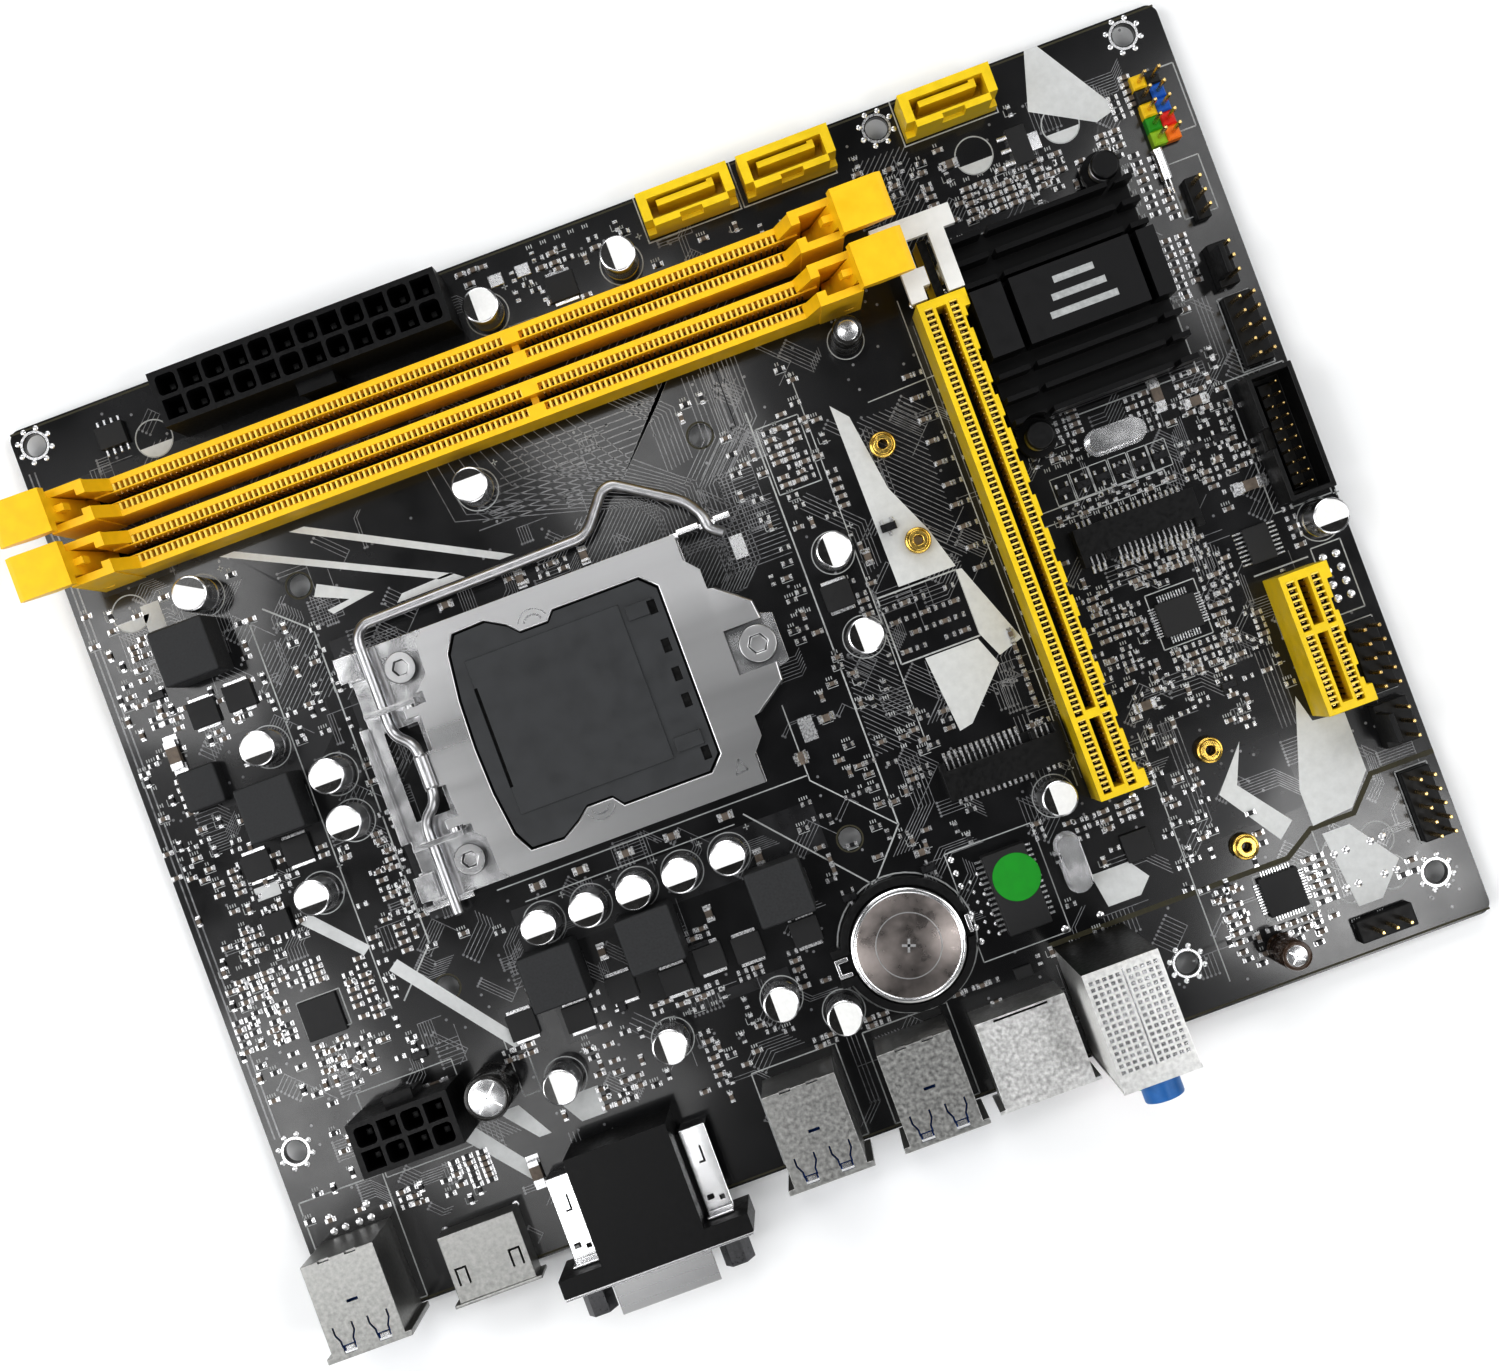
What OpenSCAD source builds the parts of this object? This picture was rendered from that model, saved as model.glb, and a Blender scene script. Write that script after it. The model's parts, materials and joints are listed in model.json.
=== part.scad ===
/* [Board] */
// Width of the board along the rear edge
board_w = 214; // [213:1:216]
// Depth of the board from rear to front
board_d = 168; // [167:1:170]
// Thickness of the board
board_t = 1.6; // [1.5:0.1:1.7]
// Radius of the board's corners
board_corner = 2; // [1:0.5:3]
// Diameter of the six mounting holes
mount_hole_d = 3.96; // [3.8:0.02:4.2]
// Side of the square of cooler holes
cooler_square = 75; // [74.5:0.5:75.5]

/* [Memory slots] */
// Length between the slot's centre and a tower's outer end
slot_half = 70.6; // [70.4:0.2:71.4]
// Width of a slot housing
slot_w = 6.9; // [6.8:0.1:7.1]
// Height of the slot's rails
slot_h = 9.5; // [9:0.25:10]
// Tilt of the left latches as they stand
left_tilt = 8; // [6:1:10]
// Tilt of the right latches as they stand
right_tilt = 13; // [10:1:14]

/* [Expansion slots] */
// Height of the expansion slots
card_slot_h = 11.25; // [11:0.25:11.5]
// Width of the expansion slots
card_slot_w = 7.7; // [7.5:0.1:8]
// Length of the graphics slot
graphics_slot_l = 89.3; // [89:0.1:89.6]
// Length of the short slot
short_slot_l = 25; // [24.6:0.1:25.4]

/* [Socket] */
// Thickness of the stamped load plate
plate_t = 1.5; // [1.3:0.1:1.6]
// Height of the load plate's lower face above the board
plate_z = 5; // [5:0.1:5.2]
// Radius of the lever's wire
wire_r = 1; // [0.95:0.01:1]
// Radial clearance between a pin and its bore
pin_gap = 0.05; // [0.03:0.01:0.08]

/* [Heatsink] */
// Width of the heatsink along the board
sink_w = 32.8; // [32:0.2:33.4]
// Depth of the heatsink
sink_d = 33.3; // [32.5:0.1:33.5]
// Height of the heatsink's top above the board
sink_h = 12; // [11.5:0.5:13]

/* [Rear connectors] */
// Height of a stacked pair of ports
usb_h = 15.6; // [15:0.1:16]
// Height of the network jack
jack_h = 13.5; // [13:0.1:14]
// Height of the audio stack
audio_h = 33.6; // [33:0.2:34]

/* [Hidden] */

fine = 48;          // facets of small round features, true circles in the built part
edge_gap = 0.3;     // gap between a moving piece and its neighbour

// Slot layout, measured from the board's rear left corner
slot_x = 77.3;
front_slot_y = 148.95;
rear_slot_y = 139.5;
groove_w = 1.7;
groove_z = 2.5;
pocket_w = 1.3;     // width of the trench that holds a row of contacts
pocket_depth = 1.2;
key_x = 89.6 - slot_x;
tower_x = 64;       // inner end of a tower, from the slot's centre
tower_w = 7.3;
tower_gap = 4.6;    // gap between a tower's two walls
tower_h = 16.5;
latch_u = 68.4;     // latch pivot, out from the slot's centre
latch_z = 4.5;
latch_pin_r = 1;

// The origin: the centre of the four right-hand mounting holes, on the board's underside
datum = [184.24, 86.97];

// Holes in the board
mount_holes = [[3.9, 32.36], [161.38, 9.5], [207.1, 9.5],
  [3.9, 164.44], [161.38, 164.44], [207.1, 164.44]];
cooler_x = 76.5;
cooler_y = 87.6;
cooler_hole_d = 4;

// Load mechanism
hinge_side_screws = [[51.2, 105.2], [51, 69.8]];
shoulder_screw = [110.9, 87.4];
screw_r = 1.65;
screw_hole_r = 1.75;
back_plate_t = 2;
film_t = 0.2;
frame_t = 1.2;
lever_x = 46.2;
lever_z = 4.5;
hinge_x = 50.8;
hinge_z = 5.2;
hinge_pin_r = 0.8;
lug_y = [98.4, 74.2];
lug_t = 1;
lug_relief = 0.5;   // how far the plate is cut back on each side of a lug
crank = [49.8, 6.95];
bend_overlap = 0.4; // how far a straight stretch of the wire runs past a bend's centre
journal_l = 4;      // length of the wire's round journal in each lug
lever_path = [[lever_x, 61.5, lever_z], [lever_x, 78.6, lever_z], [crank[0], 81.4, crank[1]],
  [crank[0], 91.6, crank[1]], [lever_x, 94.6, lever_z], [lever_x, 112.4, lever_z],
  [47.9, 114.4, lever_z], [89.6, 115.1, lever_z], [94.6, 121.4, lever_z],
  [96.6, 122, lever_z], [107.6, 114.8, lever_z], [109.7, 111.4, lever_z],
  [109.7, 109, lever_z], [112.2, 107.2, lever_z]];

// Chipset heatsink and its push pins
sink_x = 181.1;
sink_y = 123.1;
push_pins = [[194.4, 143], [168.2, 103.8]];
push_hole_r = 1.55;

// Repeated parts, as [x, y] centres
drive_port_x = [126, 144.3, 173.6];
drive_port_y = 163.2;
usb_x = [9.1, 91.5, 112];
card_edge = [[143.6, 53.6, 0], [179.1, 83.3, 180]];
standoffs = [[143.1, 94.6], [143.1, 112.3], [177.6, 43], [177.6, 25.2]];
standoff_r = 2.3;
standoff_hole_r = 0.8;
polymer_caps = [[24.3, 100.4], [33.8, 91.8], [33.8, 83.2], [24.2, 73.2],
  [58.9, 54.9], [67.6, 54.9], [76.2, 54.9], [84.6, 54.9], [93.3, 54.9],
  [128.6, 97.8], [128.6, 82.2], [52.9, 28.1], [72.9, 28.1], [93.2, 28.3], [102.6, 22.4],
  [149.8, 44.8], [209.4, 73.8], [74.2, 129.9], [86.6, 158], [111.6, 158], [22.6, 129.3]];
inductors = [[18.4, 120.3], [22.9, 90], [58.2, 46.1], [76.1, 46.4], [99.6, 46.3]];
inductor_w = 9.9;
transistors = [[15.7, 110], [22.6, 110.6], [15.3, 81.6], [22.9, 81.8], [49.2, 39.4],
  [58.9, 37.4], [67.7, 39.6], [77.1, 37.6], [83.9, 39.1], [90.8, 38.5], [101.2, 37.7],
  [100.5, 157.8], [126.8, 90.5]];
battery_pos = [117.1, 29.7];
battery_r = 10;
cap_r = 3.15;

// ---------- helpers ----------

// Puts children at a place measured from the rear left corner, on the board's top face
module at(x, y, z = 0) {
  translate([x - datum[0], y - datum[1], board_t + z]) children();
}

// A block centred on X and Y that stands on z = 0
module block(sx, sy, sz) {
  translate([-sx / 2, -sy / 2, 0]) cube([sx, sy, sz]);
}

// A block given by its two corners in X and Y, from z0 to z1 above the board
module slab(x0, y0, x1, y1, z0, z1) {
  at(x0, y0, z0) cube([x1 - x0, y1 - y0, z1 - z0]);
}

module disc(r, h) {
  cylinder(r = r, h = h, $fn = fine);
}

// A rectangle with round corners, centred
module round_rect(sx, sy, r) {
  square([sx - 2 * r, sy], center = true);
  square([sx, sy - 2 * r], center = true);
  for (i = [-1, 1], j = [-1, 1])
    translate([i * (sx / 2 - r), j * (sy / 2 - r)]) circle(r = r, $fn = fine);
}

module round_block(sx, sy, sz, r) {
  linear_extrude(sz) round_rect(sx, sy, r);
}

// A cylinder along X, from x = 0
module x_disc(r, h) {
  rotate([0, 90, 0]) disc(r, h);
}

// A cylinder along Y, from y = 0
module y_disc(r, h) {
  rotate([-90, 0, 0]) disc(r, h);
}

// An open box with walls of one thickness, open towards -Y
module shell_box(sx, sy, sz, t) {
  difference() {
    block(sx, sy, sz);
    translate([0, -t, t]) block(sx - 2 * t, sy, sz - 2 * t);
  }
}

// ---------- board ----------

module circuit_board() {
  color("#141416")
  difference() {
    at(board_w / 2, board_d / 2, -board_t) linear_extrude(board_t)
      round_rect(board_w, board_d, board_corner);
    for (p = mount_holes) at(p[0], p[1], -board_t - 1) disc(mount_hole_d / 2, board_t + 2);
    for (i = [-1, 1], j = [-1, 1])
      at(cooler_x + i * cooler_square / 2, cooler_y + j * cooler_square / 2, -board_t - 1)
        disc(cooler_hole_d / 2, board_t + 2);
    for (p = concat(hinge_side_screws, [shoulder_screw]))
      at(p[0], p[1], -board_t - 1) disc(screw_hole_r, board_t + 2);
    for (p = push_pins) at(p[0], p[1], -board_t - 1) disc(push_hole_r, board_t + 2);
  }
}

// ---------- processor socket and its load mechanism ----------

back_plate_outline = [[45.5, 74], [45.5, 63.5], [57, 63.5], [66, 68], [92, 68], [100, 79],
  [106, 85.2], [110.9, 83.4], [114.9, 87.4], [110.9, 91.4], [106, 91], [100, 96], [92, 107],
  [66, 107], [57, 111.5], [45.5, 111.5], [45.5, 101], [50, 96], [50, 79]];

module back_plate_shape() {
  difference() {
    polygon(back_plate_outline);
    translate([78, 87.5]) round_rect(25, 22, 3);
    for (p = concat(hinge_side_screws, [shoulder_screw]))
      translate(p) circle(r = screw_hole_r, $fn = fine);
  }
}

module socket_back_plate() {
  color("#9a9da0")
  at(0, 0, -board_t - film_t - back_plate_t) linear_extrude(back_plate_t) back_plate_shape();
}

module back_plate_film() {
  color("#1c1c1e")
  at(0, 0, -board_t - film_t) linear_extrude(film_t) back_plate_shape();
}

seat_x = 78.9;
seat_y = 87.4;
seat = 37.8;
socket_w = 42.4;
socket_d = 40.4;
socket_h = 4.2;
seat_floor = 0.6;

module cpu_socket() {
  color("#2b2c2e")
  at(seat_x, seat_y) difference() {
    block(socket_w, socket_d, socket_h);
    translate([0, 0, seat_floor]) block(seat, seat, socket_h);
    for (j = [-1, 1]) translate([-12, j * socket_d / 2, 2]) block(10, 3.2, socket_h);
  }
}

// The plate's window, which the cap fills
window_outline = [[60.4, 104.2], [62.2, 107.2], [68, 107.4], [71.4, 105.4], [73.2, 103.5],
  [78.4, 103.5], [79.8, 105.1], [95.6, 105.1], [98.2, 102.6], [98.2, 72], [95.8, 69.5],
  [79.9, 69.5], [78.4, 71.4], [73.6, 71.4], [71.4, 69.6], [68, 67.6], [62.2, 67.8],
  [60.4, 71.2], [59.4, 79], [59.1, 87.5], [59.4, 96]];

// The window drawn smaller by a scale about its centre, so that the cap clears its edge
module window_shape(s) {
  translate([seat_x, seat_y]) scale([s, s]) translate([-seat_x, -seat_y])
    polygon(window_outline);
}

cap_z = 4.95;
cap_t = 1.2;

module socket_cap() {
  color("#2e3032")
  difference() {
    union() {
      at(0, 0, cap_z) linear_extrude(cap_t) window_shape(0.985);
      slab(62.6, 74, 90.6, 102, cap_z + cap_t, cap_z + cap_t + 0.35);
      for (y = [74.6, 98.6]) slab(91.6, y, 96.4, y + 2.6, cap_z + cap_t, cap_z + cap_t + 0.5);
    }
    for (y = [71.8, 81.4, 86.2, 91.4, 98.4]) slab(95.4, y, 96.8, y + 2.4, cap_z + 0.5, 9);
    slab(62.4, 79, 63, 97, cap_z + 0.6, 9);
  }
}

module frame_base() {
  difference() {
    polygon([[42, 110.5], [42, 64.5], [104, 64.5], [104, 80], [115, 83], [115, 91.8],
      [104, 95], [104, 110.5]]);
    translate([seat_x, seat_y]) square([socket_w + 0.6, socket_d + 0.6], center = true);
    translate([44, 79]) square([6.5, 16.5]);
    for (p = concat(hinge_side_screws, [shoulder_screw]))
      translate(p) circle(r = screw_hole_r, $fn = fine);
  }
}

module load_frame() {
  color("#c9cacc")
  difference() {
    union() {
      at(0, 0, 0) linear_extrude(frame_t) frame_base();
      for (y = lug_y) slab(43, y, 52.2, y + lug_t, 0, 6.8);
      slab(40.6, 76, 41.8, 97.2, 0, 3);
      slab(41.6, 76, 44.2, 97.2, 0, frame_t);
      for (y = [105.8, 65.4]) slab(40.6, y, 44, y + 4.6, 0, 3.4);
      slab(40.3, 63.6, 49.6, 64.6, 0, 3);
      slab(103, 109.4, 104.5, 110.4, 0, 3);
      slab(104.4, 109.4, 114, 110.4, 0, 7.4);
    }
    for (y = lug_y) {
      at(lever_x, y - 1, lever_z) y_disc(wire_r + pin_gap, lug_t + 2);
      at(hinge_x, y - 1, hinge_z) y_disc(hinge_pin_r + pin_gap, lug_t + 2);
    }
    slab(108.3, 109, 111.1, 111, 3.2, 8);
  }
}

plate_outline = [[52.6, 99.6], [52.2, 94], [52.2, 81], [52.6, 75.4], [55.6, 72.6],
  [55.8, 66.6], [57.6, 64.7], [103.8, 64.7], [103.8, 69.8], [106, 72.4], [106, 102.8],
  [103.8, 105.2], [103.8, 110], [57.6, 110], [55.8, 108.4], [55.6, 102.4]];

module load_plate() {
  tab_gap = 3.7;
  color("#b9bbbe") {
    at(0, 0, plate_z) linear_extrude(plate_t) difference() {
      union() {
        polygon(plate_outline);
        polygon([[105.9, 99.2], [107.4, 99], [112.6, 94.8], [113, 91.4], [105.9, 91.4]]);
        polygon([[105.9, 83.4], [113, 83.4], [112.8, 80], [107.4, 76.2], [105.9, 76]]);
        translate([48.4, 83.4]) square([4.4, 6.4]);
      }
      polygon(window_outline);
      translate(shoulder_screw) circle(r = tab_gap, $fn = fine);
      translate([48.2, 83]) square([2.9, 7.2]);
      for (y = lug_y) translate([50, y - lug_relief]) square([4, lug_t + 2 * lug_relief]);
    }
    slab(48.4, 83.4, 51.6, 89.8, plate_z - 0.4, plate_z + 0.6);
    slab(58, 64.7, 103.6, 65.9, 2.4, plate_z + 0.2);
    slab(58, 108.8, 102.4, 110, 2.4, plate_z + 0.2);
    for (y = [96.2, 76]) {
      slab(50, y, 53.4, y + 1.6, 4.2, plate_z + plate_t);
      at(hinge_x, y, hinge_z) y_disc(1.2, 1.6);
    }
    at(hinge_x, 97, hinge_z) y_disc(hinge_pin_r, 2.4);
    at(hinge_x, 74.2, hinge_z) y_disc(hinge_pin_r, 2.4);
  }
}

// One straight stretch of the wire, eight-sided, which runs a little past each bend
module wire_stretch(a, b) {
  way = (b - a) / norm(b - a);
  d = b - a;
  translate(a - way * bend_overlap) rotate([0, acos(d[2] / norm(d)), atan2(d[1], d[0])])
    cylinder(r = wire_r * 0.98, h = norm(d) + 2 * bend_overlap, $fn = 8);
}

module load_lever() {
  last = len(lever_path) - 1;
  color("#c4c6c8") at(0, 0) {
    for (i = [0 : last - 1]) wire_stretch(lever_path[i], lever_path[i + 1]);
    for (y = lug_y) translate([lever_x, y + (lug_t - journal_l) / 2, lever_z])
      y_disc(wire_r, journal_l);
    translate([crank[0], 83.4, crank[1]]) y_disc(wire_r + 0.25, 6.4);
  }
}

module frame_screws() {
  color("#8e9092") {
    for (p = hinge_side_screws) at(p[0], p[1], frame_t) star_screw_at(2.8, 2, 0);
    at(shoulder_screw[0], shoulder_screw[1], frame_t) star_screw_at(3.3, 2.2, 4);
  }
}

// A screw whose head stands head_z above the frame, and whose shank runs through the board
module star_screw_at(head_r, head_h, head_z) {
  shank = frame_t + board_t + film_t + back_plate_t;
  difference() {
    union() {
      translate([0, 0, head_z]) disc(head_r, head_h);
      if (head_z > 0) disc(2.2, head_z);
      translate([0, 0, -shank]) disc(screw_r, shank + 0.1);
    }
    translate([0, 0, head_z + head_h - 1.2]) cylinder(r = head_r * 0.52, h = 2, $fn = 6);
  }
}

// ---------- memory slots ----------

module slot_end(side) {
  mirror([side < 0 ? 1 : 0, 0, 0]) {
    difference() {
      translate([tower_x - 1, -tower_w / 2, 0]) cube([slot_half - tower_x + 1, tower_w, tower_h]);
      translate([tower_x + 0.6, -tower_gap / 2, 1.2]) cube([20, tower_gap, tower_h]);
      translate([tower_x - 2, -1.2, groove_z]) cube([6, 2.4, tower_h]);
      translate([latch_u, -tower_w, latch_z]) y_disc(latch_pin_r + pin_gap, 2 * tower_w);
    }
    for (y = [slot_w / 2, -1.2]) translate([0, y, 0]) rotate([90, 0, 0])
      linear_extrude(slot_w / 2 - 1.2)
        polygon([[60.4, slot_h - 0.1], [tower_x - 0.9, tower_h], [tower_x - 0.9, slot_h - 0.1]]);
  }
}

module memory_slot(y) {
  rail_l = 2 * tower_x;
  color("#f2b01c")
  at(slot_x, y) {
    difference() {
      block(rail_l, slot_w, slot_h);
      translate([0, 0, groove_z]) block(rail_l + 2, groove_w, slot_h);
      for (j = [-1, 1]) {
        translate([-25.2, j * 1.75, slot_h - pocket_depth]) block(72, pocket_w, slot_h);
        translate([37.8, j * 1.75, slot_h - pocket_depth]) block(48, pocket_w, slot_h);
      }
    }
    translate([key_x, 0, groove_z - 1]) block(1.3, groove_w + 0.4, 5);
    for (side = [-1, 1]) slot_end(side);
  }
}

module memory_slot_front() {
  memory_slot(front_slot_y);
}

module memory_slot_rear() {
  memory_slot(rear_slot_y);
}

latch_profile = [[-1.5, -1.9], [-3, -1.8], [-3, -0.9], [-1.9, 0.6], [-1.7, 15.8], [3, 16.6],
  [2.2, 14], [1.9, -1.9]];
latch_thumb = [[-1.7, 14.3], [-1.7, 16.4], [6, 18.2], [7.2, 17.8], [7, 16.8], [2.2, 14.6]];
latch_w = 4.2;
thumb_w = 7.6;

// A latch about its pivot, leaning outwards by tilt
module latch(y, side, tilt) {
  color("#f4b71e")
  at(slot_x, y) mirror([side < 0 ? 1 : 0, 0, 0]) translate([latch_u, 0, latch_z])
    rotate([0, tilt, 0]) {
      rotate([90, 0, 0]) translate([0, 0, -latch_w / 2]) linear_extrude(latch_w)
        polygon(latch_profile);
      rotate([90, 0, 0]) translate([0, 0, -thumb_w / 2]) linear_extrude(thumb_w)
        polygon(latch_thumb);
      translate([-3.4, -0.6, 10.6]) cube([2, 1.2, 2.4]);
      translate([0, -tower_w / 2 + 0.1, 0]) y_disc(latch_pin_r, tower_w - 0.2);
    }
}

module front_slot_left_latch() {
  latch(front_slot_y, -1, left_tilt);
}

module front_slot_right_latch() {
  latch(front_slot_y, 1, right_tilt);
}

module rear_slot_left_latch() {
  latch(rear_slot_y, -1, left_tilt);
}

module rear_slot_right_latch() {
  latch(rear_slot_y, 1, right_tilt);
}

// ---------- expansion slots ----------

contact_row = 2.2;      // contact row, out from the slot's centre
key_from_rear = 14.6;   // the key, from the slot's rear end
channel_w = 1.8;

module card_slot(l) {
  difference() {
    translate([-card_slot_w / 2, 0, 0]) cube([card_slot_w, l, card_slot_h]);
    for (span = [[1.6, key_from_rear - 0.8], [key_from_rear + 0.8, l - 1.6]]) {
      translate([-channel_w / 2, span[0], 3]) cube([channel_w, span[1] - span[0], 20]);
      for (i = [-1, 1])
        translate([i * contact_row - 0.7, span[0] - 0.6, card_slot_h - 1.6])
          cube([1.4, span[1] - span[0] + 0.9, 5]);
    }
    for (y = [4.5 : 6 : l - 4]) translate([card_slot_w / 2 - 0.5, y, -1]) cube([2, 2.2, 20]);
  }
  for (y = [0, l - 3]) translate([card_slot_w / 2 - 0.1, y, 0]) cube([1.1, 3, card_slot_h]);
}

graphics_x = 159.6;
graphics_y = 42.1;
tail_l = 10.4;
clip_pivot = [4.2, 6.6];   // clip's pin, beyond the slot's end and above the board
clip_pin_r = 1;

module graphics_slot() {
  color("#f0c818")
  at(graphics_x, graphics_y) {
    card_slot(graphics_slot_l);
    difference() {
      translate([0.1, graphics_slot_l - 0.1, 0]) cube([1.6, tail_l + 0.1, 8.6]);
      translate([-1, graphics_slot_l + clip_pivot[0], clip_pivot[1]])
        x_disc(clip_pin_r + pin_gap, 4);
    }
  }
}

module graphics_slot_clip() {
  arm_z = 9.4;
  arm_t = 1.8;
  color("#ecebe6")
  at(graphics_x, graphics_y + graphics_slot_l) {
    for (x = [-4.5, 2.2]) translate([x, edge_gap, arm_z]) cube([2.9, 11, arm_t]);
    translate([-7.1, 10.8, arm_z]) cube([14.3, 3.7, arm_t]);
    for (x = [-1.9, 2.2]) translate([x, clip_pivot[0] - 1.6, clip_pivot[1] - 1.6])
      cube([1.6, 3.2, arm_z + arm_t - clip_pivot[1] + 1.6]);
    translate([-1.9, clip_pivot[0], clip_pivot[1]]) x_disc(clip_pin_r, 5);
  }
}

module short_slot() {
  color("#f0c818")
  at(200.4, 42.2) card_slot(short_slot_l);
}

// ---------- cable connectors ----------

module drive_port() {
  difference() {
    union() {
      block(16.5, 6.3, 8.5);
      translate([-7, 2.6, 0]) cube([14, 1.2, 5]);
    }
    translate([-6.6, -1.9, 1.5]) cube([13.2, 3.6, 20]);
    for (i = [-1, 1]) translate([i * 8.25, -3.15, 3]) block(3, 2.4, 20);
    translate([-2, -4, 5]) cube([4, 1.6, 20]);
  }
  translate([-5.2, 0.1, 1]) cube([10.4, 1.1, 6.6]);
  translate([4.1, 0.1, 1]) cube([1.1, 1.5, 6.6]);
}

module drive_ports() {
  color("#f0c41a")
  for (x = drive_port_x) at(x, drive_port_y) drive_port();
}

cell_pitch = 4.2;
cell_r = 1.75;
cable_socket_h = 13;

module power_cells(n) {
  for (i = [0 : n - 1], j = [-0.5, 0.5])
    translate([(i - (n - 1) / 2) * cell_pitch, j * cell_pitch, 1.5])
      if ((i + (j > 0 ? 1 : 0)) % 2 == 0) block(2 * cell_r, 2 * cell_r, 20);
      else round_block(2 * cell_r, 2 * cell_r, 20, 0.8);
}

module power_pins(n) {
  for (i = [0 : n - 1], j = [-0.5, 0.5])
    translate([(i - (n - 1) / 2) * cell_pitch, j * cell_pitch, 0.5]) block(1, 1, 9);
}

module power_socket(n) {
  difference() {
    block(n * cell_pitch + 1.4, 9.6, cable_socket_h);
    power_cells(n);
  }
  power_pins(n);
}

module main_power_socket() {
  color("#1b1b1d")
  at(55.7, 161.1) {
    power_socket(12);
    translate([-3.4, -6.4, 0]) cube([6.8, 1.7, 9]);
    translate([-3.4, -6.9, 7.6]) cube([6.8, 0.6, 1.4]);
  }
}

module cpu_power_socket() {
  color("#1b1b1d")
  at(26.3, 30.4) {
    power_socket(4);
    translate([-2.6, 4.7, 0]) cube([5.2, 1.4, 9]);
    translate([-2.6, 6, 7.6]) cube([5.2, 0.7, 1.4]);
  }
}

module card_edge_socket() {
  difference() {
    translate([-10.95, -3.4, 0]) cube([21.9, 6.8, 4]);
    translate([-9.9, 0.4, 1.2]) cube([19.8, 4, 1.5]);
    translate([-9.9, 1.8, 1.2]) cube([19.8, 4, 4]);
  }
  translate([5.8, 0.2, 1]) cube([0.9, 2.9, 1.9]);
}

module card_edge_sockets() {
  color("#232325")
  for (c = card_edge) at(c[0], c[1]) rotate([0, 0, c[2]]) card_edge_socket();
}

module card_standoffs() {
  color("#c7a45a")
  for (p = standoffs) at(p[0], p[1]) difference() {
    union() {
      disc(standoff_r, 1.8);
      disc(1.8, 2.5);
    }
    translate([0, 0, -0.1]) disc(standoff_hole_r, 3);
  }
}

// ---------- chipset ----------

chip_w = 22;
chip_h = 1.8;
pad_t = 0.4;

module chipset() {
  color("#26282b")
  at(sink_x, sink_y) {
    block(chip_w, chip_w + 1, 1);
    block(11, 8, chip_h);
  }
}

module thermal_pad() {
  color("#8fa0ad")
  at(sink_x, sink_y, chip_h) block(12, 9, pad_t);
}

module chipset_heatsink() {
  base_z = chip_h + pad_t;
  base_t = 2.4;
  fin_top = sink_h - 1.6;
  ear_r = 3.4;
  color("#1d1e20")
  difference() {
    union() {
      at(sink_x, sink_y, base_z) block(sink_w, sink_d, base_t);
      for (i = [0 : 8])
        slab(sink_x - sink_w / 2, 106.6 + i * 4.05, sink_x + sink_w / 2, 107.5 + i * 4.05,
          base_z, fin_top);
      slab(sink_x - sink_w / 2, 118.3, sink_x + sink_w / 2, 130.1, base_z, sink_h);
      for (p = push_pins) {
        at(p[0], p[1], base_z) disc(ear_r, 1.6);
        at(p[0], (p[1] * 2 + sink_y) / 3, base_z) block(2 * ear_r - 0.6, 13, 1.6);
      }
    }
    for (x = [170.3, 193]) slab(x, 100, x + 1.3, 150, base_z + base_t, 40);
    for (p = push_pins) at(p[0], p[1]) disc(1.75, 20);
    for (p = push_pins) at(p[0], p[1], base_z + 1.6) disc(ear_r + 0.2, 20);
  }
}

module heatsink_pins() {
  ear_top = chip_h + pad_t + 1.6;
  color("#232427")
  for (p = push_pins) at(p[0], p[1]) {
    translate([0, 0, ear_top + 3.4]) disc(2.5, 1.4);
    translate([0, 0, -board_t - 1.6]) disc(1.45, ear_top + 3.5 + board_t + 1.6);
  }
}

module heatsink_springs() {
  ear_top = chip_h + pad_t + 1.6;
  color("#8b8d90")
  for (p = push_pins) at(p[0], p[1], ear_top) difference() {
    disc(2.4, 3.4);
    translate([0, 0, -1]) disc(1.7, 6);
  }
}

// ---------- battery ----------

battery_z = 1.2;
battery_t = 3.2;

module battery_holder() {
  color("#19191b")
  at(battery_pos[0], battery_pos[1]) difference() {
    union() {
      disc(battery_r + 1.7, 3.2);
      translate([-13.2, -3.4, 0]) cube([6, 6.8, 3.2]);
    }
    translate([0, 0, battery_z]) disc(battery_r + 0.35, 10);
    translate([-14, -1.9, 1]) cube([8, 3.8, 10]);
    translate([0, 0, -1]) disc(5, 5);
    translate([9, -2.4, 1]) cube([6, 4.8, 10]);
  }
}

module battery() {
  color("#b8b2ad")
  at(battery_pos[0], battery_pos[1], battery_z) {
    disc(battery_r - 0.8, 0.5);
    translate([0, 0, 0.4]) disc(battery_r, battery_t - 0.4);
  }
}

module battery_clip() {
  color("#d6d7d8")
  at(battery_pos[0], battery_pos[1]) {
    for (j = [-1, 1]) translate([-12.9, j * 1.35 - 0.4, 1]) cube([2.2, 0.8, 2.6]);
    translate([-13.1, -1.75, 1]) cube([0.6, 3.5, 2.6]);
    translate([10.7, -1.6, 1]) cube([0.8, 3.2, 3]);
  }
}

// ---------- rear connectors ----------

sheet = 0.4;     // thickness of the connectors' sheet metal

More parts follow.
